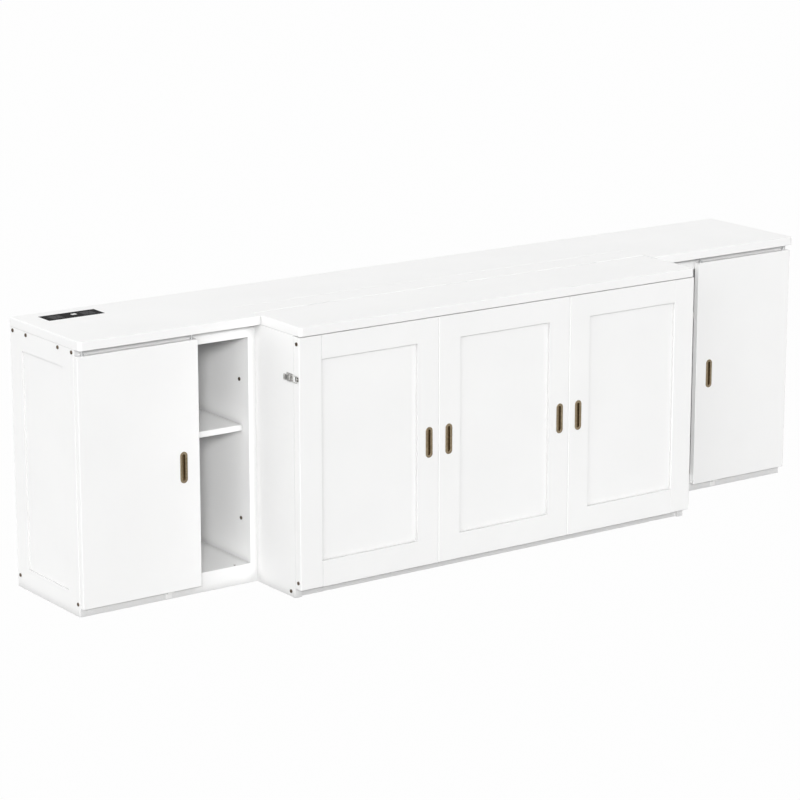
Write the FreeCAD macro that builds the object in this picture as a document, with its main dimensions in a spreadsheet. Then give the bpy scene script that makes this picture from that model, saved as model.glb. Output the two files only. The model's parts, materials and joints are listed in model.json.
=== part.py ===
"""A wall bed: a middle unit that holds a folding slatted bed, between two cabinets with sliding doors.

Lengths are in millimetres. X runs along the wall, +Y is the wall side and +Z is up. The origin is on the
floor, under the middle of the whole object. "Depth" is measured forwards from the wall plane.
"""
import FreeCAD, Part
import os
import re

# Driving dimensions: name, size and what it is
DIMENSIONS = [
    ("total_length", 2970, "both cabinets and the middle unit, end to end"),
    ("total_height", 900, "floor to the tops"),
    ("total_depth", 675, "wall to the front edge of the lid"),
    ("center_width", 1640, "middle unit, outside"),
    ("lid_overhang", 4, "lid beyond the face of the front"),
    ("side_depth", 410, "wall to the front edge of a cabinet"),
    ("top_overhang", 14, "cabinet top beyond the door"),
    ("top_thick", 30, "top boards and lid"),
    ("panel_thick", 25, "upright panels"),
    ("corner_round", 12, "plan radius at the front corners of the tops"),
    ("ease_radius", 2, "softened edges of boards"),
    ("back_thick", 6, "back sheets"),
    ("back_inset", 2, "back sheets stand this far off the wall plane"),
    ("rail_thick", 20, "cabinet rails"),
    ("rail_height", 44, "cabinet top rails"),
    ("stretcher_width", 86, "flat stretchers under a cabinet top"),
    ("stretcher_back_at", 105, "depth of the back stretcher's middle"),
    ("stretcher_setback", 97, "front stretcher's middle from the cabinet's front"),
    ("bottom_top", 66, "height of a cabinet's floor"),
    ("bottom_thick", 15, "cabinet floor"),
    ("shelf_top", 526, "height of the shelf"),
    ("shelf_thick", 20, "shelf"),
    ("shelf_setback", 41, "shelf from the cabinet's front edge"),
    ("shelf_gap", 1, "play round the shelf"),
    ("shelf_pin_radius", 2.5, "shelf pins"),
    ("shelf_pin_reach", 9, "shelf pin, in the panel and out of it"),
    ("shelf_pin_inset", 45, "shelf pins from the shelf's front and back edges"),
    ("inset_top", 67, "border over the end panel's inset"),
    ("inset_bottom", 74, "border under the end panel's inset"),
    ("inset_back", 77, "border behind the end panel's inset"),
    ("inset_front", 70, "border in front of the end panel's inset"),
    ("inset_deep", 5, "depth of the end panel's inset"),
    ("door_opening", 227.5, "middle unit to the door's inner edge"),
    ("door_thick", 22, "sliding door"),
    ("door_low", 30, "floor to the door"),
    ("door_top_gap", 20, "door to the cabinet top"),
    ("door_back_gap", 2, "door to the cabinet front"),
    ("door_pull_inset", 60, "door's inner edge to the middle of its pull"),
    ("door_pull_height", 438, "floor to the middle of a door pull"),
    ("track_width", 20, "door track, outside"),
    ("track_high", 14, "door track, outside"),
    ("track_wall", 2, "door track wall"),
    ("track_slot", 9, "slot along the bottom of the track"),
    ("track_end_gap", 8, "track to the ends of the cabinet top"),
    ("hanger_radius", 3, "hanger pin"),
    ("hanger_head_radius", 7.5, "glide on top of the hanger pin"),
    ("hanger_head_high", 6, "glide height"),
    ("hanger_collar_radius", 6, "collar under the glide, on the door"),
    ("hanger_collar_high", 4, "collar height"),
    ("hanger_sunk", 26, "hanger pin inside the door"),
    ("hanger_inner_inset", 17, "inner hanger to the door's inner edge"),
    ("hanger_outer_inset", 24, "outer hanger to the door's outer edge"),
    ("slide_play", 0.4, "running gap of sliding pieces"),
    ("guide_fin", 6, "thickness of the door guide's fin"),
    ("guide_rise", 10, "guide fin inside the door's groove"),
    ("guide_length", 24, "door guide along the wall"),
    ("guide_inset", 100, "door's inner edge to the guide, door at rest"),
    ("groove_play", 1, "groove in the door to the guide fin"),
    ("bolt_head_radius", 6, "bolt heads"),
    ("bolt_head_thick", 2.2, "bolt heads"),
    ("bolt_radius", 3.5, "bolt shanks"),
    ("bolt_length", 60, "bolt shanks"),
    ("bolt_fit", 0.1, "hole round a bolt"),
    ("bolt_key_radius", 2.9, "six-sided key hole in a bolt head"),
    ("bolt_key_deep", 1.4, "key hole depth"),
    ("bolt_top_drop", 10, "upper end bolts under the cabinet top"),
    ("bolt_low_at", 41, "height of the lower end bolts"),
    ("joint_bolt_inset", 54, "joining bolts from the cabinet's front edge"),
    ("joint_bolt_drop", 193, "upper joining bolts under the tops"),
    ("joint_bolt_low", 208, "height of the lower joining bolts"),
    ("sleeve_radius", 4.5, "sleeve nut of a joining bolt"),
    ("screw_radius", 2, "floor screws"),
    ("screw_head_radius", 4, "floor screw heads"),
    ("screw_length", 40, "floor screws"),
    ("screw_inset", 56, "end floor screws from the panels"),
    ("pull_length", 104, "flush pull"),
    ("pull_width", 27.5, "flush pull"),
    ("pull_rim", 8.5, "flat rim round the pull's recess"),
    ("pull_proud", 1.5, "rim thickness"),
    ("pull_deep", 10, "recess depth behind the rim"),
    ("pull_wall", 1.2, "pull wall"),
    ("pull_fit", 0.2, "pocket round a pull"),
    ("unit_length", 203, "power unit along the wall"),
    ("unit_width", 75, "power unit across"),
    ("unit_flange", 3, "power unit flange thickness"),
    ("unit_lip", 7, "flange beyond the body"),
    ("unit_body", 44, "power unit body below the flange"),
    ("unit_wall", 2.5, "power unit walls"),
    ("unit_fit", 0.5, "hole round the power unit"),
    ("unit_outer_inset", 76, "cabinet end to the power unit"),
    ("unit_depth_at", 49, "wall to the power unit"),
    ("socket_size", 42, "socket face, square"),
    ("socket_offset", 58, "socket middle to the unit's middle"),
    ("socket_thick", 6, "socket face"),
    ("usb_length", 18, "charging module"),
    ("usb_width", 16, "charging module"),
    ("usb_aside", 11, "charging module to the right of the unit's middle"),
    ("usb_back", 6, "charging module nearer the wall than the unit's middle"),
    ("gland_radius", 6, "cable gland"),
    ("gland_length", 12, "cable gland"),
    ("center_back_thick", 8, "middle back sheet"),
    ("wall_rail_thick", 22, "wall rails"),
    ("wall_rail_height", 88, "upper wall rail"),
    ("floor_rail_height", 66, "lower wall rail"),
    ("anchor_spacing", 812.8, "wall anchor holes"),
    ("anchor_radius", 4, "wall anchor holes"),
    ("anchor_drop", 44, "anchor holes under the tops"),
    ("plinth_setback", 10, "plinth from the front edge of the middle sides"),
    ("plinth_thick", 48, "plinth, front to back"),
    ("plinth_height", 36, "plinth"),
    ("plinth_bolt_inset", 14, "plinth bolts from the plinth's front"),
    ("top_seam", 287, "depth of the fixed seam in the middle top"),
    ("lid_seam", 396.5, "depth of the lid's hinge line"),
    ("seam_gap", 3, "gap at the lid's hinge line"),
    ("seam_bevel", 2, "bevels along the seams"),
    ("lid_side_gap", 1.5, "lid to the cabinet tops"),
    ("lid_axis_drop", 2, "lid hinge line under the top face"),
    ("lid_knuckle", 1.6, "lid hinge knuckle radius"),
    ("lid_pin", 0.8, "lid hinge pin radius"),
    ("lid_leaf", 1, "lid hinge leaf thickness"),
    ("lid_hinge_length", 90, "lid hinge"),
    ("lid_hinge_inset", 260, "outer lid hinges from the middle unit's sides"),
    ("deck_top", 110, "floor to the top of the slats"),
    ("deck_side_gap", 15, "folding deck to the side"),
    ("slat_thick", 14, "slats"),
    ("slat_width", 70, "slats"),
    ("bar_size", 30, "deck bars, square"),
    ("outer_bar_inset", 40, "outer deck bars from the deck's ends"),
    ("inner_bar_at", 250, "inner deck bars from the middle"),
    ("deck_front_gap", 4, "folded deck to the front"),
    ("apex_gap", 10, "cabinet top to the upper deck hinges"),
    ("fold_gap", 1, "gap between the folded decks"),
    ("bar_setback", 5, "deck ends to the hinge lines"),
    ("bearer_thick", 26, "board under the front of the rear deck"),
    ("deck_wall_gap", 4, "rear deck to the wall rail"),
    ("knuckle_radius", 3.5, "deck hinge knuckles"),
    ("hinge_pin", 1.75, "deck hinge pins"),
    ("pin_play", 0.05, "running gap of hinge pins"),
    ("knuckle_play", 0.4, "gap between knuckles"),
    ("leaf_thick", 2.5, "deck hinge leaves"),
    ("leaf_reach", 40, "deck hinge leaves from the hinge line"),
    ("hinge_length", 80, "deck hinges"),
    ("inner_hinge_at", 180, "inner deck hinges from the middle"),
    ("outer_hinge_inset", 140, "outer deck hinges from the outer bars"),
    ("leg_pivot_back", 60, "upper deck hinge to the leg rod"),
    ("leg_rod", 6, "leg rod radius"),
    ("leg_width", 22, "legs, front to back"),
    ("leg_thick", 30, "legs, along the wall"),
    ("leg_floor_gap", 1, "open leg to the floor"),
    ("leg_bar_gap", 4, "leg to the deck bar beside it"),
    ("front_thick", 33, "front frame"),
    ("front_low", 32, "floor to the front"),
    ("front_top_gap", 3, "front to the lid"),
    ("stile_width", 86, "outer stiles of the front"),
    ("top_rail_height", 79, "top rail of the front"),
    ("bottom_rail_height", 87, "bottom rail of the front"),
    ("inner_stile_width", 173, "inner stiles of the front"),
    ("groove_at", 272.5, "false door lines from the middle"),
    ("groove_size", 3, "square cutter of the false door lines"),
    ("front_recess", 9, "front face to the panels"),
    ("front_panel_thick", 12, "front panels"),
    ("front_pull_offset", 40, "pull to the false door line"),
    ("front_pull_height", 450, "floor to the middle of the front pulls"),
    ("edge_bolt_inset", 19, "edge bolts from the back of the front"),
    ("edge_bolt_top_drop", 22, "upper edge bolts under the front's top"),
    ("edge_bolt_rise", 23, "lower edge bolts over the front's bottom"),
    ("edge_bolt_length", 116, "edge bolt shanks"),
    ("roller_radius", 14, "rollers"),
    ("roller_width", 18, "rollers"),
    ("roller_setback", 29, "roller axles from the front"),
    ("roller_inset", 105, "rollers from the bed bay's sides"),
    ("axle_radius", 3, "roller axles"),
    ("cheek_thick", 2.5, "roller bracket cheeks"),
    ("cheek_gap", 1, "roller to a cheek"),
    ("cheek_top", 62, "height of the bracket cheeks"),
    ("cheek_low", 8, "floor to the bracket cheeks"),
    ("roller_pocket_play", 2, "plinth pocket round a roller bracket"),
    ("cover_thick", 4, "boards that close the roller pockets"),
    ("cover_low", 1, "floor to those boards"),
    ("latch_drop", 139, "latches under the tops"),
    ("latch_setback", 14, "latch lever pins from the front"),
    ("latch_pin_out", 6, "flank to the latch lever pins"),
    ("latch_pin_radius", 1.5, "latch lever pins"),
    ("latch_plate", 1.5, "latch sheet metal"),
    ("latch_base_reach", 24, "latch base behind the lever pin"),
    ("latch_base_nose", 12, "latch base in front of the lever pin"),
    ("latch_base_half", 13, "half the height of the latch base"),
    ("ear_gap", 1.5, "latch ear to the lever wall"),
    ("ear_half", 5, "half the length of a latch ear"),
    ("lever_reach", 26, "lever behind its pin"),
    ("lever_nose", 1.5, "lever walls in front of the pin"),
    ("lever_cap_gap", 6.5, "lever cap from the pin"),
    ("lever_half", 9, "half the height of the lever"),
    ("lever_cap_out", 8.4, "flank to the underside of the lever cap"),
    ("lever_wall_reach", 19, "lever walls behind the pin"),
    ("lever_wall_in", 3.4, "flank to the lever's side walls"),
    ("bail_back", 13, "bail pivot behind the lever pin"),
    ("strike_gap", 0.65, "bail to the strike's hook"),
    ("bail_gap", 0.25, "bail arm to the lever"),
    ("bail_wire", 1.2, "bail wire radius"),
    ("bail_arm", 1.35, "radius of the bail's two arms"),
    ("bail_reach", 40, "bail's front bar in front of the lever pin"),
    ("strike_start", 12, "strike from the back of the front"),
    ("strike_length", 16, "strike"),
    ("strike_half", 7, "half the height of the strike"),
    ("strike_hook", 3.6, "flank to the top of the strike's hook"),
    ("strike_hook_at", 6, "hook from the strike's back end"),
]

# Sizes that follow from the driving dimensions
DERIVED = {
    "half_length": "total_length / 2",
    "half_depth": "total_depth / 2",
    "half_center": "center_width / 2",
    "half_bay": "half_center - panel_thick",
    "under_top": "total_height - top_thick",
    "cabinet_inner": "half_center + panel_thick",
    "cabinet_outer": "half_length - panel_thick",
    "back_front": "back_inset + back_thick",
    "door_back": "side_depth + door_back_gap",
    "door_front": "door_back + door_thick",
    "door_middle": "door_back + door_thick / 2",
    "door_top": "under_top - door_top_gap",
    "door_inner": "half_center + door_opening",
    "track_middle": "door_middle",
    "bolt_top_at": "under_top - bolt_top_drop",
    "rail_back_at": "back_front + rail_thick / 2",
    "rail_front_at": "side_depth - rail_thick / 2",
    "unit_outer": "half_length - unit_outer_inset",
    "unit_inner": "unit_outer - unit_length",
    "unit_middle": "unit_outer - unit_length / 2",
    "unit_depth_middle": "unit_depth_at + unit_width / 2",
    "center_back_front": "back_inset + center_back_thick",
    "wall_rail_front": "center_back_front + wall_rail_thick",
    "deck_under": "deck_top - slat_thick",
    "bar_under": "deck_under - bar_size",
    "rear_deck_back": "wall_rail_front + deck_wall_gap",
    "rear_deck_front": "pivot_depth - bar_setback + 1",
    "apex_height": "under_top - apex_gap",
    "apex_depth": "pivot_depth + section_gap",
    "center_depth": "total_depth - lid_overhang - front_thick",
    "foot_depth": "center_depth - deck_front_gap",
    "front_back": "center_depth",
    "front_face": "center_depth + front_thick",
    "front_top": "under_top - front_top_gap",
    "rail_inner": "half_center - stile_width",
    "lower_opening": "front_low + bottom_rail_height",
    "upper_opening": "front_top - top_rail_height",
    "lid_axis": "total_height - lid_axis_drop",
    "board_front": "lid_seam - seam_gap / 2",
    "lid_back": "lid_seam + seam_gap / 2",
    "lid_half": "half_center - lid_side_gap",
    "leg_pivot_high": "deck_top + leg_pivot_at",
    "leg_pivot_depth": "pivot_depth + leg_pivot_drop",
    "leg_length": "deck_top - leg_pivot_drop - leg_floor_gap",
    "section_length": "under_top - apex_gap - deck_top",
    "leg_pivot_at": "section_length - leg_pivot_back",
    "leg_pivot_drop": "slat_thick + bar_size / 2",
    "section_gap": "slat_thick + bar_size + fold_gap",
    "pivot_depth": "foot_depth - 2 * section_gap",
    "edge_bolt_high": "front_top - edge_bolt_top_drop",
    "edge_bolt_low": "front_low + edge_bolt_rise",
    "edge_bolt_depth": "front_back + edge_bolt_inset",
    "joint_bolt_high": "under_top - joint_bolt_drop",
    "joint_bolt_depth": "side_depth - joint_bolt_inset",
    "shelf_front": "side_depth - shelf_setback",
    "stretcher_front_at": "side_depth - stretcher_setback",
    "side_top_depth": "door_front + top_overhang",
    "deck_half_width": "half_bay - deck_side_gap",
    "outer_bar_at": "deck_half_width - outer_bar_inset",
    "outer_hinge_at": "outer_bar_at - outer_hinge_inset",
    "roller_at": "half_bay - roller_inset",
    "lid_hinge_pitch": "half_center - lid_hinge_inset",
    "plinth_front": "center_depth - plinth_setback",
    "plinth_bolt_depth": "plinth_front - plinth_bolt_inset",
    "plinth_bolt_high": "plinth_height / 2",
    "roller_depth": "center_depth - roller_setback",
    "latch_height": "under_top - latch_drop",
    "latch_pin_depth": "center_depth - latch_setback",
    "latch_base_back": "latch_pin_depth - latch_base_reach",
    "latch_base_front": "latch_pin_depth + latch_base_nose",
    "lever_back": "latch_pin_depth - lever_reach",
    "lever_front": "latch_pin_depth + lever_nose",
    "lever_cap_front": "latch_pin_depth - lever_cap_gap",
    "lever_wall_back": "latch_pin_depth - lever_wall_reach",
    "bail_depth": "latch_pin_depth - bail_back",
    "bail_front": "latch_pin_depth + bail_reach",
    "strike_back": "front_back + strike_start",
    "strike_front": "strike_back + strike_length",
    "strike_hook_depth": "strike_back + strike_hook_at",
    "bail_half": "lever_half + bail_arm + bail_gap",
    "ear_inner": "lever_half - 2 * latch_plate - ear_gap",
    "bail_out": "strike_hook + bail_arm + strike_gap",
    "bracket_half": "roller_width / 2 + cheek_gap + cheek_thick",
    "cover_half": "bracket_half + roller_pocket_play - slide_play",
    "cover_back": "plinth_front - cover_thick",
    "notch_deep": "lid_knuckle + knuckle_play - seam_gap / 2",
}

SIDES = ("left", "right")
SLATS_PER_SECTION = 7
SLATS_REAR = 5
RIGHT_ANGLE = 90
RIM_REACH = 20
NEAR = 1

doc = FreeCAD.newDocument("wall_bed")
sheet = doc.addObject("Spreadsheet::Sheet", "dims")
for row, (alias, size, note) in enumerate(DIMENSIONS, start=1):
    sheet.set(f"A{row}", note)
    sheet.set(f"B{row}", str(size))
    sheet.setAlias(f"B{row}", alias)
doc.recompute()

ALIASES = {alias for alias, size, note in DIMENSIONS}
pieces = []


def expand(text):
    """Write a size given in plain names as an expression on the sheet's cells."""
    def swap(match):
        word = match.group(0)
        if word in DERIVED:
            return f"({expand(DERIVED[word])})"
        if word in ALIASES:
            return f"dims.{word}"
        if word == "sqrt":
            return word
        raise KeyError(word)
    return re.sub(r"[A-Za-z_]\w*", swap, str(text))


def bind(thing, name, text):
    """Tie one property of a document object to the sheet."""
    thing.setExpression(name, expand(text))


def seat(thing, x, depth, z):
    """Tie an object's place to the sheet, with its depth measured from the wall plane."""
    bind(thing, "Placement.Base.x", x)
    bind(thing, "Placement.Base.y", f"half_depth - ({depth})")
    bind(thing, "Placement.Base.z", z)


def board(x, depth, z):
    """A plain rectangular board between pairs of limits along X, depth and Z."""
    box = doc.addObject("Part::Box", "board")
    bind(box, "Length", f"({x[1]}) - ({x[0]})")
    bind(box, "Width", f"({depth[1]}) - ({depth[0]})")
    bind(box, "Height", f"({z[1]}) - ({z[0]})")
    seat(box, x[0], depth[1], z[0])
    return box


def turned(radius, span, x, depth, z, axis):
    """A round bar of a given radius and length, from a start point along +X, depth or +Z."""
    bar = doc.addObject("Part::Cylinder", "bar")
    bind(bar, "Radius", radius)
    bind(bar, "Height", span)
    turns = {
        "x": FreeCAD.Rotation(FreeCAD.Vector(0, 1, 0), RIGHT_ANGLE),
        "depth": FreeCAD.Rotation(FreeCAD.Vector(1, 0, 0), RIGHT_ANGLE),
        "z": FreeCAD.Rotation(),
    }
    bar.Placement = FreeCAD.Placement(FreeCAD.Vector(), turns[axis])
    seat(bar, x, depth, z)
    return bar


def fuse(parts):
    """Join overlapping or touching shapes into one solid."""
    joined = doc.addObject("Part::MultiFuse", "joined")
    joined.Shapes = parts
    joined.Refine = True
    return joined


def group(parts):
    """Hold separate solids together as one node."""
    held = doc.addObject("Part::Compound", "held")
    held.Links = parts
    return held


def cut(base, tools):
    """Take one or more tools away from a shape."""
    result = doc.addObject("Part::Cut", "cut")
    result.Base = base
    result.Tool = tools[0] if len(tools) == 1 else group(tools)
    return result


def ease(base, radius="ease_radius", keep=None):
    """Round the edges of a board, all of them or those that keep() accepts."""
    doc.recompute()
    size = float(sheet.get(radius))
    chosen = []
    for number, edge in enumerate(base.Shape.Edges, start=1):
        if keep is None or keep(edge):
            chosen.append((number, size, size))
    rounded = doc.addObject("Part::Fillet", "eased")
    rounded.Base = base
    rounded.Edges = chosen
    return rounded


def node(label, thing):
    """Name a finished sub-part and list it for writing."""
    thing.Label = label
    pieces.append(thing)
    return thing


def around(middle, half):
    """The limits of a span that reaches half to each side of its middle."""
    return f"{middle} - {half}", f"{middle} + {half}"


def mirrored(side, low, high):
    """Limits along X on the named side, given as distances from the middle."""
    if side == "right":
        return (low, high)
    return (f"-({high})", f"-({low})")


def at_side(side, text):
    """A place along X on the named side, given as a distance from the middle."""
    return text if side == "right" else f"-({text})"


def side_bar(side, radius, low, high, depth, z):
    """A round bar along X between two distances from the middle, on the named side."""
    limits = mirrored(side, low, high)
    return turned(radius, f"({high}) - ({low})", limits[0], depth, z, "x")


def runs_along(edge, axis):
    """True for a straight edge parallel to the given axis."""
    direction = edge.tangentAt(edge.FirstParameter)
    return abs(abs(direction.dot(axis)) - 1) < 1e-6


UP = FreeCAD.Vector(0, 0, 1)


def panel_bolt(side, face, length, depth, z):
    """A bolt pushed in from a side face: domeless head, shank and a six-sided key hole."""
    head = side_bar(side, "bolt_head_radius", face, f"{face} + bolt_head_thick", depth, z)
    shank = side_bar(side, "bolt_radius", f"{face} - ({length})", face, depth, z)
    key = doc.addObject("Part::Prism", "key")
    key.Polygon = 6
    bind(key, "Circumradius", "bolt_key_radius")
    bind(key, "Height", "bolt_key_deep")
    key.Placement = FreeCAD.Placement(FreeCAD.Vector(), FreeCAD.Rotation(FreeCAD.Vector(0, 1, 0), RIGHT_ANGLE))
    outer = mirrored(side, f"{face} + bolt_head_thick - bolt_key_deep", f"{face} + bolt_head_thick")
    seat(key, outer[0], depth, z)
    return cut(fuse([head, shank]), [key])


def bolt_hole(side, face, length, depth, z):
    """The clearance hole of such a bolt."""
    return side_bar(side, "bolt_radius + bolt_fit", f"{face} - ({length})", face, depth, z)


def stadium(length, width, x, z, depth):
    """An upright slot shape with round ends, centred at x and z, between two depths."""
    middle = board(
        (f"{x} - ({width}) / 2", f"{x} + ({width}) / 2"),
        depth,
        (f"{z} - (({length}) - ({width})) / 2", f"{z} + (({length}) - ({width})) / 2"),
    )
    ends = []
    for sign in ("-", "+"):
        height = f"{z} {sign} (({length}) - ({width})) / 2"
        ends.append(turned(f"({width}) / 2", f"({depth[1]}) - ({depth[0]})", x, depth[0], height, "depth"))
    return fuse([middle] + ends)


def flush_pull(x, z, face):
    """A flush pull: a flat rim on the face and a thin cup behind it."""
    inner_length = "pull_length - 2 * pull_rim"
    inner_width = "pull_width - 2 * pull_rim"
    rim = stadium("pull_length", "pull_width", x, z, (face, f"{face} + pull_proud"))
    cup = stadium(
        f"{inner_length} + 2 * pull_wall", f"{inner_width} + 2 * pull_wall", x, z, (f"{face} - pull_deep", face)
    )
    hollow = stadium(
        inner_length, inner_width, x, z, (f"{face} - pull_deep + pull_wall", f"{face} + pull_proud")
    )
    return cut(fuse([rim, cup]), [hollow])


def pull_pocket(x, z, face):
    """The pocket that a flush pull's cup sits in."""
    spare = "2 * pull_wall + 2 * pull_fit - 2 * pull_rim"
    return stadium(
        f"pull_length + {spare}", f"pull_width + {spare}", x, z, (f"{face} - pull_deep - pull_fit", face)
    )


END_BOLTS = (
    ("rail_back_at", "bolt_top_at"),
    ("stretcher_back_at", "bolt_top_at"),
    ("stretcher_front_at", "bolt_top_at"),
    ("rail_front_at", "bolt_top_at"),
    ("rail_back_at", "bolt_low_at"),
    ("rail_front_at", "bolt_low_at"),
)
JOINT_BOLTS = ("joint_bolt_high", "joint_bolt_low")
SHELF_PINS = ("back_front + shelf_pin_inset", "shelf_front - shelf_pin_inset")


def shelf_pin_places(side):
    """Where the shelf pins go: start and end along X, and depth."""
    places = []
    for depth in SHELF_PINS:
        places.append(("cabinet_inner - shelf_pin_reach", "cabinet_inner + shelf_pin_reach", depth))
        places.append(("cabinet_outer - shelf_pin_reach", "cabinet_outer + shelf_pin_reach", depth))
    return places


PIN_HEIGHT = "shelf_top - shelf_thick - shelf_pin_radius"


def shelf_pin_holes(side, inner):
    """The holes for the shelf pins in one upright panel."""
    holes = []
    for low, high, depth in shelf_pin_places(side):
        if low.startswith("cabinet_inner") == inner:
            holes.append(side_bar(side, "shelf_pin_radius + pin_play", low, high, depth, PIN_HEIGHT))
    return holes


def make_end_panel(side):
    """The outer upright panel, with a shallow inset on its outer face and its bolt holes."""
    plain = board(mirrored(side, "cabinet_outer", "half_length"), ("0", "side_depth"), ("0", "under_top"))
    inset = board(
        mirrored(side, "half_length - inset_deep", "half_length + 1"),
        ("inset_back", "side_depth - inset_front"),
        ("inset_bottom", "under_top - inset_top"),
    )
    holes = [bolt_hole(side, "half_length", "panel_thick", depth, z) for depth, z in END_BOLTS]
    eased = ease(plain, keep=lambda edge: runs_along(edge, UP))
    node(f"{side}_end_panel", cut(eased, [inset] + holes + shelf_pin_holes(side, False)))


def make_inner_side(side):
    """The upright panel next to the middle unit."""
    plain = board(mirrored(side, "half_center", "cabinet_inner"), ("0", "side_depth"), ("0", "under_top"))
    holes = [
        side_bar(side, "sleeve_radius + bolt_fit", "half_center", "cabinet_inner", "joint_bolt_depth", z)
        for z in JOINT_BOLTS
    ]
    node(f"{side}_inner_side", cut(plain, holes + shelf_pin_holes(side, True)))


def make_cabinet_rails(side):
    """Top rails, flat stretchers and bottom rails, with the holes of the end bolts and floor screws."""
    inside = mirrored(side, "cabinet_inner", "cabinet_outer")
    top = ("under_top - rail_height", "under_top")
    flat = ("under_top - rail_thick", "under_top")
    low = ("0", "bottom_top - bottom_thick")
    front = ("side_depth - rail_thick", "side_depth")
    back = ("back_front", "back_front + rail_thick")
    half = "stretcher_width / 2"
    layout = [
        (front, top, "rail_front_at", "bolt_top_at"),
        (back, top, "rail_back_at", "bolt_top_at"),
        (around("stretcher_back_at", half), flat, "stretcher_back_at", "bolt_top_at"),
        (around("stretcher_front_at", half), flat, "stretcher_front_at", "bolt_top_at"),
        (front, low, "rail_front_at", "bolt_low_at"),
        (back, low, "rail_back_at", "bolt_low_at"),
    ]
    bars = []
    for depth, z, bolt_depth, bolt_z in layout:
        tools = [bolt_hole(side, "cabinet_outer", "bolt_length - panel_thick + 1", bolt_depth, bolt_z)]
        if depth == front and z == low:
            tools += floor_screw_holes(side)
        if side == "left" and bolt_depth == "stretcher_back_at":
            tools.append(power_recess("under_top - rail_thick - 1"))
        bars.append(cut(board(inside, depth, z), tools))
    node(f"{side}_cabinet_rails", group(bars))


FLOOR_SCREWS = (
    "cabinet_inner + screw_inset",
    "(cabinet_inner + cabinet_outer) / 2",
    "cabinet_outer - screw_inset",
)


def floor_screw_holes(side):
    """Holes for the screws that hold a cabinet floor on its front rail."""
    return [
        turned("screw_radius + bolt_fit", "screw_length", at_side(side, x), "rail_front_at",
               "bottom_top - screw_length", "z")
        for x in FLOOR_SCREWS
    ]


def countersink(side, x, spare):
    """The cone of a countersunk screw head, point down."""
    cone = doc.addObject("Part::Cone", "countersink")
    bind(cone, "Radius1", f"screw_radius + {spare}")
    bind(cone, "Radius2", f"screw_head_radius + {spare}")
    bind(cone, "Height", "screw_head_radius - screw_radius")
    seat(cone, at_side(side, x), "rail_front_at", "bottom_top - screw_head_radius + screw_radius")
    return cone


def make_cabinet_floor(side):
    """The cabinet floor, lying on the bottom rails."""
    plain = board(
        mirrored(side, "cabinet_inner", "cabinet_outer"),
        ("back_front", "side_depth"),
        ("bottom_top - bottom_thick", "bottom_top"),
    )
    tools = []
    for x, hole in zip(FLOOR_SCREWS, floor_screw_holes(side)):
        tools.append(fuse([hole, countersink(side, x, "bolt_fit")]))
    node(f"{side}_cabinet_floor", cut(plain, tools))


def make_shelf(side):
    """The shelf, which rests on four pins."""
    plain = board(
        mirrored(side, "cabinet_inner + shelf_gap", "cabinet_outer - shelf_gap"),
        ("back_front + shelf_gap", "shelf_front"),
        ("shelf_top - shelf_thick", "shelf_top"),
    )
    node(f"{side}_shelf", ease(plain))


def make_cabinet_top(side):
    """The cabinet top, with a groove for the door track and, on the left, a place for the power unit."""
    plain = board(
        mirrored(side, "half_center", "half_length"), ("0", "side_top_depth"), ("under_top", "total_height")
    )
    doc.recompute()
    outer_x = max(abs(corner.X) for corner in plain.Shape.Vertexes)
    front_y = min(corner.Y for corner in plain.Shape.Vertexes)

    def outer_corner(edge):
        place = edge.CenterOfMass
        return runs_along(edge, UP) and abs(abs(place.x) - outer_x) < NEAR and abs(place.y - front_y) < NEAR

    def visible_rim(edge):
        place = edge.CenterOfMass
        beside_end = abs(place.x) > outer_x - RIM_REACH
        along_front = place.y < front_y + RIM_REACH
        return not runs_along(edge, UP) and (beside_end or along_front)

    rounded = ease(plain, "corner_round", outer_corner)
    eased = ease(rounded, "ease_radius", visible_rim)
    groove = board(
        mirrored(side, "half_center + track_end_gap", "half_length - track_end_gap"),
        ("track_middle - track_width / 2", "track_middle + track_width / 2"),
        ("under_top - 1", "under_top + track_high"),
    )
    tools = [groove]
    if side == "left":
        tools.append(power_recess("under_top - 1"))
        tools.append(board(
            mirrored("left", "unit_inner - unit_fit", "unit_outer + unit_fit"),
            ("unit_depth_at - unit_fit", "unit_depth_at + unit_width + unit_fit"),
            ("total_height - unit_flange", "total_height + 1"),
        ))
        tools = [groove, fuse(tools[1:])]
    node(f"{side}_cabinet_top", cut(eased, tools))


def power_recess(low):
    """The hole that the power unit's body passes through, from a given height up."""
    return board(
        mirrored("left", "unit_inner + unit_lip - unit_fit", "unit_outer - unit_lip + unit_fit"),
        ("unit_depth_at + unit_lip - unit_fit", "unit_depth_at + unit_width - unit_lip + unit_fit"),
        (low, "total_height - unit_flange"),
    )


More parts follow.
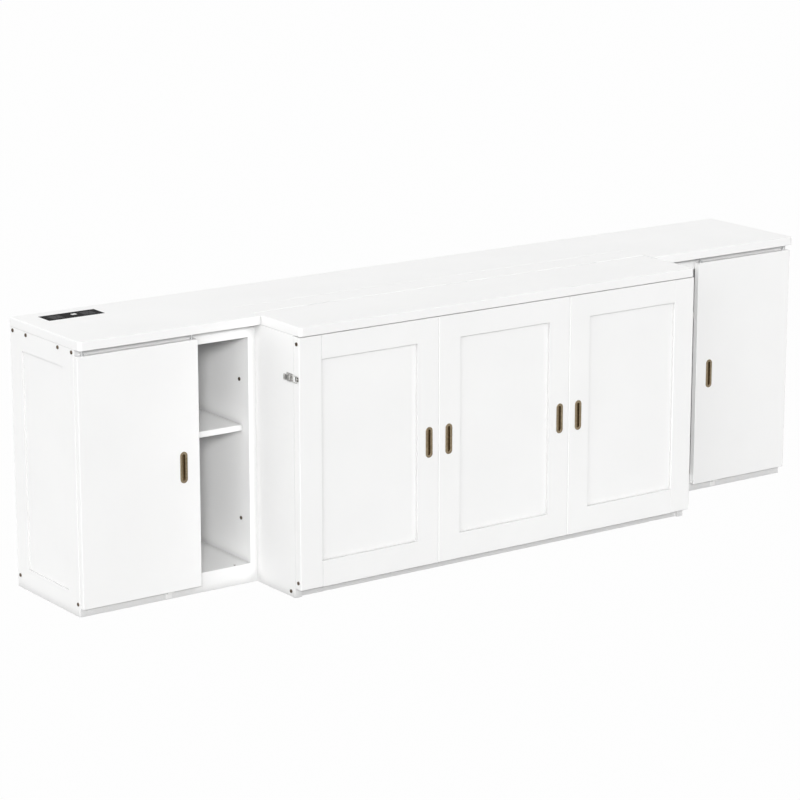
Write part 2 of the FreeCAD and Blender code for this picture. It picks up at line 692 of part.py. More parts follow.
def make_door(side):
    """The sliding door with its pull, and the two hangers it hangs from."""
    plain = board(
        mirrored(side, "door_inner", "half_length"), ("door_back", "door_front"), ("door_low", "door_top")
    )
    pull_x = at_side(side, "door_inner + door_pull_inset")
    hanger_x = [
        at_side(side, "door_inner + hanger_inner_inset"),
        at_side(side, "half_length - hanger_outer_inset"),
    ]
    holes = [
        turned("hanger_radius + pin_play", "hanger_sunk + 1", x, "door_middle", "door_top - hanger_sunk", "z")
        for x in hanger_x
    ]
    groove = board(
        mirrored(side, "door_inner - 1", "half_length + 1"),
        ("door_middle - guide_fin / 2 - groove_play", "door_middle + guide_fin / 2 + groove_play"),
        ("door_low - 1", "door_low + guide_rise + groove_play"),
    )
    tools = holes + [groove, pull_pocket(pull_x, "door_pull_height", "door_front")]
    node(f"{side}_door", cut(ease(plain), tools))
    node(f"{side}_door_pull", flush_pull(pull_x, "door_pull_height", "door_front"))
    hangers = []
    head_low = "under_top + track_wall + slide_play"
    for x in hanger_x:
        pin = turned("hanger_radius", f"{head_low} - door_top + hanger_sunk", x, "door_middle",
                     "door_top - hanger_sunk", "z")
        collar = turned("hanger_collar_radius", "hanger_collar_high", x, "door_middle", "door_top", "z")
        glide = turned("hanger_head_radius", "hanger_head_high", x, "door_middle", head_low, "z")
        hangers.append(fuse([pin, collar, glide]))
    node(f"{side}_door_hangers", group(hangers))


def make_door_track(side):
    """A track of C section in the groove under a cabinet top."""
    ends = mirrored(side, "half_center + track_end_gap", "half_length - track_end_gap")
    through = mirrored(side, "half_center + track_end_gap - 1", "half_length - track_end_gap + 1")
    half = "track_width / 2"
    outer = board(ends, around("track_middle", half), ("under_top", "under_top + track_high"))
    hollow = board(
        through,
        (f"track_middle - {half} + track_wall", f"track_middle + {half} - track_wall"),
        ("under_top + track_wall", "under_top + track_high - track_wall"),
    )
    slot = board(
        through,
        ("track_middle - track_slot / 2", "track_middle + track_slot / 2"),
        ("under_top - 1", "under_top + track_wall"),
    )
    return cut(outer, [fuse([hollow, slot])])


def make_door_guide(side):
    """A small angle on the cabinet's front rail whose fin runs in the groove under the door."""
    span = mirrored(
        side,
        "door_inner + guide_inset",
        "door_inner + guide_inset + guide_length",
    )
    foot = "door_low - groove_play - guide_fin"
    plate = board(
        span, ("side_depth", "side_depth + door_back_gap - groove_play"), ("guide_fin / 2", "door_low")
    )
    arm = board(span, ("side_depth", "door_middle + guide_fin / 2"), (foot, f"{foot} + guide_fin"))
    fin = board(span, around("door_middle", "guide_fin / 2"), (foot, "door_low + guide_rise"))
    return fuse([plate, arm, fin])


def make_joining_bolt(side, z):
    """A bolt from inside the cabinet and the sleeve nut it screws into from the bed bay."""
    head = side_bar(
        side, "bolt_head_radius", "cabinet_inner", "cabinet_inner + bolt_head_thick", "joint_bolt_depth", z
    )
    shank = side_bar(side, "bolt_radius", "half_bay + panel_thick / 2", "cabinet_inner", "joint_bolt_depth", z)
    cap = side_bar(side, "bolt_head_radius", "half_bay - bolt_head_thick", "half_bay", "joint_bolt_depth", z)
    sleeve = side_bar(side, "sleeve_radius", "half_bay", "half_center + panel_thick / 2", "joint_bolt_depth", z)
    bore = side_bar(
        side, "bolt_radius + pin_play", "half_bay + panel_thick / 4", "cabinet_inner", "joint_bolt_depth", z
    )
    return [fuse([head, shank]), cut(fuse([cap, sleeve]), [bore])]


def make_power_unit():
    """The power unit: a housing let in flush, two socket faces, a charging module and a cable gland."""
    body_top = "total_height - unit_flange"
    body_low = f"{body_top} - unit_body"
    flange = board(
        mirrored("left", "unit_inner", "unit_outer"),
        ("unit_depth_at", "unit_depth_at + unit_width"),
        (body_top, "total_height"),
    )
    body = board(
        mirrored("left", "unit_inner + unit_lip", "unit_outer - unit_lip"),
        ("unit_depth_at + unit_lip", "unit_depth_at + unit_width - unit_lip"),
        (body_low, body_top),
    )
    inside = board(
        mirrored("left", "unit_inner + unit_lip + unit_wall", "unit_outer - unit_lip - unit_wall"),
        ("unit_depth_at + unit_lip + unit_wall", "unit_depth_at + unit_width - unit_lip - unit_wall"),
        (f"{body_low} + unit_wall", "total_height - socket_thick"),
    )
    sockets = []
    windows = []
    face = ("total_height - socket_thick", "total_height")
    for sign in ("-", "+"):
        middle = f"-(unit_middle) {sign} socket_offset"
        plate = board(
            (f"{middle} - socket_size / 2", f"{middle} + socket_size / 2"),
            ("unit_depth_middle - socket_size / 2", "unit_depth_middle + socket_size / 2"),
            face,
        )
        windows.append(board(
            (f"{middle} - socket_size / 2", f"{middle} + socket_size / 2"),
            ("unit_depth_middle - socket_size / 2", "unit_depth_middle + socket_size / 2"),
            ("total_height - socket_thick - 1", "total_height + 1"),
        ))
        slots = []
        for shift in ("-", "+"):
            slots.append(board(
                around(f"{middle} {shift} socket_size / 7", "socket_size / 42"),
                ("unit_depth_middle - socket_size / 6", "unit_depth_middle + socket_size / 42"),
                ("total_height - socket_thick + 1", "total_height + 1"),
            ))
        slots.append(turned("socket_size / 17", "socket_thick", middle, "unit_depth_middle + socket_size / 5",
                            "total_height - socket_thick + 1", "z"))
        sockets.append(cut(plate, slots))
    usb_middle = "-(unit_middle) + usb_aside"
    usb_line = "unit_depth_middle - usb_back"
    usb_limits = (f"{usb_middle} - usb_length / 2", f"{usb_middle} + usb_length / 2")
    usb_depth = (f"{usb_line} - usb_width / 2", f"{usb_line} + usb_width / 2")
    windows.append(board(usb_limits, usb_depth, ("total_height - socket_thick - 1", "total_height + 1")))
    plate = board(usb_limits, usb_depth, face)
    ports = []
    for sign in ("-", "+"):
        middle = f"{usb_line} {sign} usb_width / 4"
        ports.append(board(
            (f"{usb_middle} - usb_length / 3", f"{usb_middle} + usb_length / 3"),
            (f"{middle} - usb_width / 8", f"{middle} + usb_width / 8"),
            ("total_height - socket_thick + 1", "total_height + 1"),
        ))
    gland = turned("gland_radius", "gland_length", "-(unit_middle)", "unit_depth_middle",
                   f"{body_low} - gland_length", "z")
    node("power_housing", cut(fuse([flange, body, gland]), [inside] + windows))
    node("power_sockets", group(sockets))
    node("usb_module", cut(plate, ports))


def make_center_side(side):
    """An upright side of the middle unit."""
    plain = board(mirrored(side, "half_bay", "half_center"), ("0", "center_depth"), ("0", "under_top"))
    holes = [
        side_bar(side, "sleeve_radius + bolt_fit", "half_bay", "half_center", "joint_bolt_depth", z)
        for z in JOINT_BOLTS
    ]
    holes.append(bolt_hole(side, "half_center", "panel_thick", "plinth_bolt_depth", "plinth_bolt_high"))
    node(f"center_{side}_side", cut(plain, holes))


BAY = ("-(half_bay)", "half_bay")


def anchor_holes(depth):
    """Holes for the wall anchors, between two depths."""
    return [
        turned("anchor_radius", f"({depth[1]}) - ({depth[0]})", f"{sign} anchor_spacing / 2", depth[0],
               "under_top - anchor_drop", "depth")
        for sign in ("-", "+")
    ]


def make_backs():
    """The back sheets of the cabinets and the middle unit, and the rails behind the bed bay."""
    sheets = [
        board(mirrored(side, "cabinet_inner", "cabinet_outer"), ("back_inset", "back_front"), ("0", "under_top"))
        for side in SIDES
    ]
    back = board(BAY, ("back_inset", "center_back_front"), ("floor_rail_height / 2", "under_top"))
    sheets.append(cut(back, anchor_holes(("back_inset - 1", "center_back_front + 1"))))
    node("back_sheets", group(sheets))
    rail_depth = ("center_back_front", "wall_rail_front")
    upper = board(BAY, rail_depth, ("under_top - wall_rail_height", "under_top"))
    lower = board(BAY, rail_depth, ("0", "floor_rail_height"))
    holed = cut(upper, anchor_holes(("center_back_front - 1", "wall_rail_front + 1")))
    node("wall_rails", group([holed, lower]))


def make_plinth():
    """The plinth, with a pocket for each roller."""
    plain = board(BAY, ("plinth_front - plinth_thick", "plinth_front"), ("0", "plinth_height"))
    tools = []
    for side in SIDES:
        pocket = mirrored(
            side,
            "roller_at - bracket_half - roller_pocket_play",
            "roller_at + bracket_half + roller_pocket_play",
        )
        tools.append(board(
            pocket,
            ("roller_depth - roller_radius - roller_pocket_play", "plinth_front + 1"),
            ("-1", "plinth_height + 1"),
        ))
        tools.append(
            bolt_hole(side, "half_bay", "bolt_length - panel_thick + 1", "plinth_bolt_depth", "plinth_bolt_high")
        )
    node("plinth", cut(plain, tools))


def bevel(x, depth, z):
    """A square bar turned by 45 degrees about X, which bevels an edge at a depth and height."""
    bar = doc.addObject("Part::Box", "bevel")
    span = f"({x[1]}) - ({x[0]})"
    bind(bar, "Length", span)
    bind(bar, "Width", "seam_bevel * sqrt(2)")
    bind(bar, "Height", "seam_bevel * sqrt(2)")
    eighth_turn = FreeCAD.Rotation(FreeCAD.Vector(1, 0, 0), RIGHT_ANGLE / 2)
    bar.Placement = FreeCAD.Placement(FreeCAD.Vector(), eighth_turn)
    seat(bar, x[0], depth, f"{z} - seam_bevel")
    return bar


HINGES_LID = ("-(lid_hinge_pitch)", "0", "lid_hinge_pitch")


def knuckle_notches(depth):
    """Notches beside the lid's hinge line that leave room for the knuckles."""
    return [
        board(
            (f"{x} - lid_hinge_length / 2 - knuckle_play", f"{x} + lid_hinge_length / 2 + knuckle_play"),
            depth,
            ("lid_axis - lid_knuckle - knuckle_play", "total_height + 1"),
        )
        for x in HINGES_LID
    ]


def make_center_tops():
    """The two fixed boards of the middle top, and the lid in front of them."""
    wide = ("-(half_center)", "half_center")
    over = ("-(half_center) - 1", "half_center + 1")
    level = ("under_top", "total_height")
    back = board(wide, ("0", "top_seam - pin_play"), level)
    node("center_top_back", cut(back, [bevel(over, "top_seam - pin_play", "total_height")]))
    middle = board(wide, ("top_seam + pin_play", "board_front"), level)
    tools = [
        bevel(over, "top_seam + pin_play", "total_height"),
        fuse([bevel(over, "board_front", "total_height")]
             + knuckle_notches(("board_front - notch_deep", "board_front + 1"))),
    ]
    node("lid_hinge_board", cut(middle, tools))
    plain = board(("-(lid_half)", "lid_half"), ("lid_back", "total_depth"), level)
    doc.recompute()
    front_y = min(corner.Y for corner in plain.Shape.Vertexes)

    def front_corner(edge):
        return runs_along(edge, UP) and edge.CenterOfMass.y < front_y + NEAR

    def front_rim(edge):
        return not runs_along(edge, UP) and edge.CenterOfMass.y < front_y + RIM_REACH

    eased = ease(ease(plain, "corner_round", front_corner), "ease_radius", front_rim)
    tools = [fuse([bevel(over, "lid_back", "total_height")]
                  + knuckle_notches(("lid_back - 1", "lid_back + notch_deep")))]
    node("lid", cut(eased, tools))


def butt_hinge(x, length, axis, radius, pin, fixed_leaf, moving_leaf):
    """One hinge along X: a leaf with two knuckles, a leaf with one, and the pin through them.

    axis is the hinge line's depth and height. Each leaf is given by its limits in depth and height.
    """
    depth, z = axis
    ends = around(x, f"({length}) / 2")
    inner = around(x, f"({length}) / 6")

    def round_bar(size, low, high):
        return turned(size, f"({high}) - ({low})", low, depth, z, "x")

    clear = f"{radius} + knuckle_play"
    bore = f"{pin} + pin_play"
    outer_knuckles = [round_bar(radius, ends[0], inner[0]), round_bar(radius, inner[1], ends[1])]
    middle_room = round_bar(clear, f"{inner[0]} - pin_play", f"{inner[1]} + pin_play")
    fixed_plate = cut(board(ends, fixed_leaf[0], fixed_leaf[1]), [middle_room])
    fixed = cut(fuse([fixed_plate] + outer_knuckles), [round_bar(bore, ends[0], ends[1])])
    middle_ends = (f"{inner[0]} + knuckle_play", f"{inner[1]} - knuckle_play")
    outer_room = [
        round_bar(clear, f"{ends[0]} - 1", middle_ends[0]),
        round_bar(clear, middle_ends[1], f"{ends[1]} + 1"),
    ]
    moving_plate = cut(board(ends, moving_leaf[0], moving_leaf[1]), outer_room)
    middle_knuckle = round_bar(radius, middle_ends[0], middle_ends[1])
    moving = cut(fuse([moving_plate, middle_knuckle]), [round_bar(bore, ends[0], ends[1])])
    return fixed, moving, round_bar(pin, ends[0], ends[1])


HINGES_DECK = ("-(outer_hinge_at)", "-(inner_hinge_at)", "inner_hinge_at", "outer_hinge_at")


def hinge_row(places, length, axis, radius, pin, fixed_leaf, moving_leaf):
    """A row of equal hinges. Returns the fixed solids with their pins, and the moving leaves."""
    fixed = []
    moving = []
    for x in places:
        leaf, swing, peg = butt_hinge(x, length, axis, radius, pin, fixed_leaf, moving_leaf)
        fixed += [leaf, peg]
        moving.append(swing)
    return fixed, moving


def make_rear_deck():
    """The fixed part of the bed: bearers along the bay and slats across them."""
    level = ("bar_under", "deck_under")
    run = ("rear_deck_back", "rear_deck_front - bearer_thick")
    bars = [board(BAY, ("rear_deck_front - bearer_thick", "rear_deck_front"), ("0", "deck_under"))]
    for side in SIDES:
        bars.append(board(mirrored(side, "half_bay - bar_size", "half_bay"), run, level))
        bars.append(board(mirrored(side, *around("inner_bar_at", "bar_size / 2")), run, level))
    node("rear_deck_bearers", group(bars))
    step = f"(rear_deck_front - rear_deck_back - slat_width) / {SLATS_REAR - 1}"
    slats = []
    for number in range(SLATS_REAR):
        start = f"rear_deck_back + {number} * {step}"
        slats.append(ease(board(BAY, (start, f"{start} + slat_width"), ("deck_under", "deck_top"))))
    node("rear_deck_slats", group(slats))


def make_deck_section(name, across, holes):
    """A folding section, standing upright at rest.

    across(text) turns a distance below the slats' top face into a depth. holes are cut in the long bars.
    """
    def slab(x, drop, z):
        first = across(drop[0])
        second = across(drop[1])
        return board(x, (second, first) if name == "front_deck" else (first, second), z)

    low = "deck_top + bar_setback"
    high = "apex_height - bar_setback"
    wide = ("-(deck_half_width)", "deck_half_width")
    bar_drop = ("slat_thick", "slat_thick + bar_size")
    bars = [slab(wide, bar_drop, (low, f"{low} + bar_size")), slab(wide, bar_drop, (f"{high} - bar_size", high))]
    run = (f"{low} + bar_size", f"{high} - bar_size")
    for side in SIDES:
        for place in ("outer_bar_at", "inner_bar_at"):
            bar = slab(mirrored(side, f"{place} - bar_size / 2", f"{place} + bar_size / 2"), bar_drop, run)
            bars.append(cut(bar, [holes(side, place)]) if holes else bar)
    node(f"{name}_frame", group(bars))
    step = f"(section_length - 2 * bar_setback - slat_width) / {SLATS_PER_SECTION - 1}"
    slats = []
    for number in range(SLATS_PER_SECTION):
        start = f"{low} + {number} * {step}"
        slats.append(ease(slab(wide, ("0", "slat_thick"), (start, f"{start} + slat_width"))))
    node(f"{name}_slats", group(slats))


def rod_hole(side, place):
    """The hole of the leg rod through one long bar of the middle section."""
    half = "(bar_size / 2 + 1)"
    return side_bar(side, "leg_rod + pin_play", f"{place} - {half}", f"{place} + {half}",
                    "leg_pivot_depth", "leg_pivot_high")


def make_legs():
    """Four legs on one rod. They hang upright as the deck unfolds and end just above the floor."""
    rod_half = "outer_bar_at + bar_size / 2 + leg_rod"
    rod = turned("leg_rod", f"2 * ({rod_half})", f"-({rod_half})", "leg_pivot_depth", "leg_pivot_high", "x")
    solids = [rod]
    for side in SIDES:
        outer = "outer_bar_at - bar_size / 2 - leg_bar_gap"
        inner = "inner_bar_at + bar_size / 2 + leg_bar_gap"
        for limits in ((f"{outer} - leg_thick", outer), (inner, f"{inner} + leg_thick")):
            post = board(
                mirrored(side, *limits),
                ("leg_pivot_depth - leg_width / 2", "leg_pivot_depth + leg_width / 2"),
                ("leg_pivot_high - leg_length", "leg_pivot_high"),
            )
            crown = side_bar(side, "leg_width / 2", limits[0], limits[1], "leg_pivot_depth", "leg_pivot_high")
            eye = side_bar(side, "leg_rod + pin_play", limits[0], limits[1], "leg_pivot_depth", "leg_pivot_high")
            solids.append(cut(fuse([post, crown]), [eye]))
    node("support_legs", group(solids))


def v_groove(x, z):
    """A square bar turned by 45 degrees about Z, which cuts a false door line into the front face."""
    bar = doc.addObject("Part::Box", "groove")
    bind(bar, "Length", "groove_size")
    bind(bar, "Width", "groove_size")
    bind(bar, "Height", f"({z[1]}) - ({z[0]})")
    bar.Placement = FreeCAD.Placement(FreeCAD.Vector(), FreeCAD.Rotation(UP, RIGHT_ANGLE / 2))
    seat(bar, x, "front_face + groove_size / sqrt(2)", z[0])
    return bar


def make_front():
    """The front: outer stiles, two rails between them, inner stiles between the rails, and three panels."""
    thick = ("front_back", "front_face")
    height = ("front_low", "front_top")
    opening = ("lower_opening", "upper_opening")
    edge_bolts = []
    bars = []
    for side in SIDES:
        stile = ease(board(mirrored(side, "rail_inner", "half_center"), thick, height))
        tools = []
        for z in ("edge_bolt_high", "edge_bolt_low"):
            tools.append(bolt_hole(side, "half_center", "stile_width + 1", "edge_bolt_depth", z))
            edge_bolts.append(panel_bolt(side, "half_center", "edge_bolt_length", "edge_bolt_depth", z))
        bars.append(cut(stile, tools))
    rail_span = ("-(rail_inner)", "rail_inner")
    rails = (
        (("front_low", "lower_opening"), "edge_bolt_low"),
        (("upper_opening", "front_top"), "edge_bolt_high"),
    )
    for limits, bolt_z in rails:
        tools = [v_groove(f"{sign} groove_at", height) for sign in ("-", "+")]
        for side in SIDES:
            tools.append(
                bolt_hole(side, "rail_inner", "edge_bolt_length - stile_width + 1", "edge_bolt_depth", bolt_z)
            )
        bars.append(cut(board(rail_span, thick, limits), tools))
    pulls = []
    for side in SIDES:
        stile = board(mirrored(side, *around("groove_at", "inner_stile_width / 2")), thick, opening)
        tools = [v_groove(at_side(side, "groove_at"), opening)]
        for sign in ("-", "+"):
            x = at_side(side, f"groove_at {sign} front_pull_offset")
            tools.append(pull_pocket(x, "front_pull_height", "front_face"))
            pulls.append(flush_pull(x, "front_pull_height", "front_face"))
        bars.append(cut(stile, tools))
    node("front_frame", group(bars))
    panel_depth = ("front_face - front_recess - front_panel_thick", "front_face - front_recess")
    inner_edge = "groove_at - inner_stile_width / 2"
    outer_edge = "groove_at + inner_stile_width / 2"
    limits = [mirrored("left", outer_edge, "rail_inner"), (f"-({inner_edge})", inner_edge),
              mirrored("right", outer_edge, "rail_inner")]
    node("front_panels", group([board(span, panel_depth, opening) for span in limits]))
    node("front_pulls", group(pulls))
    node("front_edge_bolts", group(edge_bolts))


def make_rollers():
    """Two rollers under brackets behind the front's lower edge, with a board that closes each plinth pocket."""
    brackets = []
    covers = []
    for side in SIDES:
        cheeks = []
        for sign in ("-", "+"):
            near = f"roller_at {sign} (roller_width / 2 + cheek_gap)"
            far = f"roller_at {sign} bracket_half"
            limits = (far, near) if sign == "-" else (near, far)
            span = mirrored(side, *limits)
            cheeks.append(
                board(span, ("roller_depth - roller_radius / 2", "cover_back"), ("cheek_low", "cheek_top"))
            )
            cheeks.append(board(span, ("cover_back", "front_back"), ("plinth_height + cover_low", "cheek_top")))
        plate = board(
            mirrored(side, "roller_at - bracket_half", "roller_at + bracket_half"),
            ("front_back - cheek_thick", "front_back"),
            ("front_low + cheek_thick", "cheek_top"),
        )
        pin = side_bar(side, "axle_radius", "roller_at - bracket_half", "roller_at + bracket_half",
                       "roller_depth", "roller_radius")
        brackets.append(fuse(cheeks + [plate, pin]))
        covers.append(board(
            mirrored(side, "roller_at - cover_half", "roller_at + cover_half"),
            ("cover_back", "plinth_front"),
            ("cover_low", "plinth_height"),
        ))
        tyre = side_bar(side, "roller_radius", "roller_at - roller_width / 2", "roller_at + roller_width / 2",
                        "roller_depth", "roller_radius")
        bore = side_bar(side, "axle_radius + pin_play", "roller_at - roller_width", "roller_at + roller_width",
                        "roller_depth", "roller_radius")
        node(f"{side}_roller", cut(tyre, [bore]))
    node("roller_brackets", group(brackets))
    node("roller_covers", group(covers))


def make_latch(side):
    """A draw latch on a flank of the middle unit. Returns its base and its strike."""
    def out(low, high):
        return mirrored(side, f"half_center + {low}", f"half_center + {high}")

    def tall(low, high):
        return (f"latch_height + {low}", f"latch_height + {high}")

    def peg(radius, low, high, depth, away):
        x = at_side(side, f"half_center + {away}")
        return turned(radius, f"({high}) - ({low})", x, depth, f"latch_height + {low}", "z")

    base = [board(out("0", "latch_plate"), ("latch_base_back", "latch_base_front"),
                  tall("-latch_base_half", "latch_base_half"))]
    for low, high in (("-ear_inner - latch_plate", "-ear_inner"), ("ear_inner", "ear_inner + latch_plate")):
        base.append(board(
            out("0", "latch_pin_out + 2 * latch_pin_radius - 1"),
            ("latch_pin_depth - ear_half", "latch_pin_depth + ear_half"),
            tall(low, high),
        ))
    base.append(peg("latch_pin_radius", "-lever_half", "lever_half", "latch_pin_depth", "latch_pin_out"))
    cap = board(out("lever_cap_out", "lever_cap_out + latch_plate"), ("lever_back", "lever_cap_front"),
                tall("-lever_half", "lever_half"))
    lever = [cap]
    for low, high in (("-lever_half", "-lever_half + latch_plate"), ("lever_half - latch_plate", "lever_half")):
        lever.append(
            board(out("lever_wall_in", "lever_cap_out"), ("lever_wall_back", "lever_front"), tall(low, high))
        )
    lever.append(board(out("lever_cap_out", "lever_cap_out + 2 * latch_plate"),
                       ("lever_back - latch_plate", "lever_back"), tall("-lever_half", "lever_half")))
    past_lever = ("-lever_half - 1", "lever_half + 1")
    lever_holes = [
        peg("latch_pin_radius + pin_play", *past_lever, "latch_pin_depth", "latch_pin_out"),
        peg("bail_wire + pin_play", *past_lever, "bail_depth", "bail_out"),
    ]
    node(f"{side}_latch_lever", cut(fuse(lever), lever_holes))
    wire_x = at_side(side, "half_center + bail_out")
    bail = [
        peg("bail_wire", "-(bail_half)", "bail_half", "bail_depth", "bail_out"),
        peg("bail_wire", "-(bail_half)", "bail_half", "bail_front", "bail_out"),
    ]
    for sign in ("-", "+"):
        bail.append(turned("bail_arm", "bail_front - bail_depth + 2 * bail_arm", wire_x, "bail_depth - bail_arm",
                           f"latch_height {sign} bail_half", "depth"))
    node(f"{side}_latch_bail", fuse(bail))
    plate = board(out("0", "latch_plate"), ("strike_back", "strike_front"), tall("-strike_half", "strike_half"))
    hook = board(out("0", "strike_hook"), ("strike_hook_depth", "strike_hook_depth + 2 * latch_plate"),
                 tall("-strike_half", "strike_half"))
    return fuse(base), fuse([plate, hook])


for name in SIDES:
    make_end_panel(name)
    make_inner_side(name)
    make_cabinet_rails(name)
    make_cabinet_floor(name)
    make_shelf(name)
    make_cabinet_top(name)
    make_door(name)
    make_center_side(name)

node("door_tracks", group([make_door_track(name) for name in SIDES]))
node("door_guides", group([make_door_guide(name) for name in SIDES]))
node("shelf_pins", group([
    side_bar(name, "shelf_pin_radius", low, high, depth, PIN_HEIGHT)
    for name in SIDES for low, high, depth in shelf_pin_places(name)
]))
joining = []
screws = []
for name in SIDES:
    for z in JOINT_BOLTS:
        joining += make_joining_bolt(name, z)
    for x in FLOOR_SCREWS:
        stem = turned("screw_radius", "screw_length", at_side(name, x), "rail_front_at",
                      "bottom_top - screw_length", "z")
        screws.append(fuse([stem, countersink(name, x, "0")]))
node("joining_bolts", group(joining))
node("panel_bolts", group([
    panel_bolt(name, "half_length", "bolt_length", depth, z) for name in SIDES for depth, z in END_BOLTS
] + [
    panel_bolt(name, "half_center", "bolt_length", "plinth_bolt_depth", "plinth_bolt_high") for name in SIDES
] + screws))
make_power_unit()
make_backs()
make_plinth()
make_center_tops()
make_rear_deck()
make_deck_section("middle_deck", lambda drop: f"pivot_depth + ({drop})", rod_hole)
make_deck_section("front_deck", lambda drop: f"foot_depth - ({drop})", None)
make_legs()
make_front()
make_rollers()

latch_bases = []
strikes = []
for name in SIDES:
    latch_base, strike = make_latch(name)
    latch_bases.append(latch_base)
    strikes.append(strike)
node("latch_bases", group(latch_bases))
node("latch_strikes", group(strikes))

# Hinge leaves: on the lid, and on the rear deck, the two folding sections and the front
lid_fixed, lid_moving = hinge_row(
    HINGES_LID, "lid_hinge_length", ("lid_seam", "lid_axis"), "lid_knuckle", "lid_pin",
    (("board_front", "board_front + lid_leaf"), ("under_top + 1", "lid_axis - lid_pin")),
    (("lid_back - lid_leaf", "lid_back"), ("under_top + 1", "lid_axis - lid_pin")),
)
upright_leaf = ("deck_top - leaf_reach", "deck_top - hinge_pin")
low_leaf = ("deck_top + bar_setback - leaf_thick", "deck_top + bar_setback")
high_leaf = ("apex_height - bar_setback", "apex_height - bar_setback + leaf_thick")
rear_fixed, rear_moving = hinge_row(
    HINGES_DECK, "hinge_length", ("pivot_depth", "deck_top"), "knuckle_radius", "hinge_pin",
    (("rear_deck_front", "rear_deck_front + leaf_thick"), upright_leaf),
    (("pivot_depth", "pivot_depth + leaf_reach"), low_leaf),
)
apex_fixed, apex_moving = hinge_row(
    HINGES_DECK, "hinge_length", ("apex_depth", "apex_height"), "knuckle_radius", "hinge_pin",
    (("apex_depth - leaf_reach", "apex_depth - 1"), high_leaf),
    (("apex_depth + 1", "apex_depth + leaf_reach"), high_leaf),
)
foot_fixed, foot_moving = hinge_row(
    HINGES_DECK, "hinge_length", ("foot_depth", "deck_top"), "knuckle_radius", "hinge_pin",
    (("foot_depth - leaf_reach", "foot_depth"), low_leaf),
    (("front_back - leaf_thick", "front_back"), upright_leaf),
)
node("fixed_hinge_leaves", group(lid_fixed + rear_fixed))
node("lid_hinge_leaves", group(lid_moving))
node("middle_deck_hinges", group(rear_moving + apex_fixed))
node("front_deck_hinges", group(apex_moving + foot_fixed))
node("front_hinge_leaves", group(foot_moving))

doc.recompute()
for thing in doc.Objects:
    if "Invalid" in thing.State or "Error" in thing.State:
        raise RuntimeError(f"{thing.Label} failed: {thing.State}")
for thing in pieces:
    if thing.Shape.isNull() or not thing.Shape.isValid() or not thing.Shape.Solids:
        raise RuntimeError(f"{thing.Label} has no sound shape")

os.makedirs("parts", exist_ok=True)
for thing in pieces:
    thing.Shape.exportStep(f"parts/{thing.Label}.step")
print(len(pieces), "sub-parts written")
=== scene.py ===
"""Looks of a wall bed: painted cabinets, brass pulls, a chrome latch, pine slats and the small hardware.

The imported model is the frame. This script gives every node its finish, puts rounded pulls in place of the
plain ones, adds screw heads and rivets, and sets up the floor, the light and the camera.
Lengths are metres.
"""
from __future__ import annotations

import json
import logging
from dataclasses import dataclass, field
from enum import Enum

import bmesh
import bpy
import numpy as np
from mathutils import Matrix, Vector

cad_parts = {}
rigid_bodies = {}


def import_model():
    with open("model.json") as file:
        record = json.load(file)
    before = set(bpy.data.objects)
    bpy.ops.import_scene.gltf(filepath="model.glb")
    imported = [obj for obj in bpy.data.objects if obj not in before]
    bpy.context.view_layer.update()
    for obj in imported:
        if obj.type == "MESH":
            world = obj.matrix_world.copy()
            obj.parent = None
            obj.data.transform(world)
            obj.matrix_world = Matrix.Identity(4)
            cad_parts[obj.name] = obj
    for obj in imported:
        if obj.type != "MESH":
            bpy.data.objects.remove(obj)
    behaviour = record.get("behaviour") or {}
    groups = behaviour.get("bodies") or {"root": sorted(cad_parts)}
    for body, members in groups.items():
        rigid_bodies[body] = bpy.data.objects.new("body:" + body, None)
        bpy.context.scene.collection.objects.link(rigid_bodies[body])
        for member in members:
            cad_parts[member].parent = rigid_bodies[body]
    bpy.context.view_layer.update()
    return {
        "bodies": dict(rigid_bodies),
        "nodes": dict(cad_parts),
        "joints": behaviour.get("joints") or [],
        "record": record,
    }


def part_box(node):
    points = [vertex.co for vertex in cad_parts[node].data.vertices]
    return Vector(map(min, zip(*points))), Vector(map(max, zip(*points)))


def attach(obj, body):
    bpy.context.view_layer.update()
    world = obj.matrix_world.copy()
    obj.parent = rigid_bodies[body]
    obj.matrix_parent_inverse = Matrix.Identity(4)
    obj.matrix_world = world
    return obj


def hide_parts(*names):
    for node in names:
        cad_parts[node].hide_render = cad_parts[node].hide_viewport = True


log = logging.getLogger("wall_bed")

WALL_Y = 0.3375
MILLIMETRES_PER_METRE = 1000
SLAT_PITCH = 0.67 / 6
REAR_SLAT_PITCH = 0.1085
AXIS_X, AXIS_Y, AXIS_Z = range(3)
# The mix node repeats its socket names for each data type, so its vector sockets are found by number
MIX_VECTOR_FIRST, MIX_VECTOR_SECOND, MIX_VECTOR_RESULT = 4, 5, 1
Color = tuple[float, float, float]
Triple = tuple[float, float, float]


def depth(value: float) -> float:
    """Turn a depth in front of the wall into a Y coordinate."""
    return WALL_Y - value


class Grain(Enum):
    """The direction that wood grain or brushing runs in, as a stretch of the pattern along X, Y and Z."""

    ALONG_X = (0.06, 1.0, 1.0)
    ALONG_Y = (1.0, 0.06, 1.0)
    ALONG_Z = (1.0, 1.0, 0.06)


class Facing(Enum):
    """The way a screw head or rivet faces, as a unit vector."""

    FORWARD = (0.0, -1.0, 0.0)
    BACKWARD = (0.0, 1.0, 0.0)
    UP = (0.0, 0.0, 1.0)
    DOWN = (0.0, 0.0, -1.0)
    LEFT = (-1.0, 0.0, 0.0)
    RIGHT = (1.0, 0.0, 0.0)


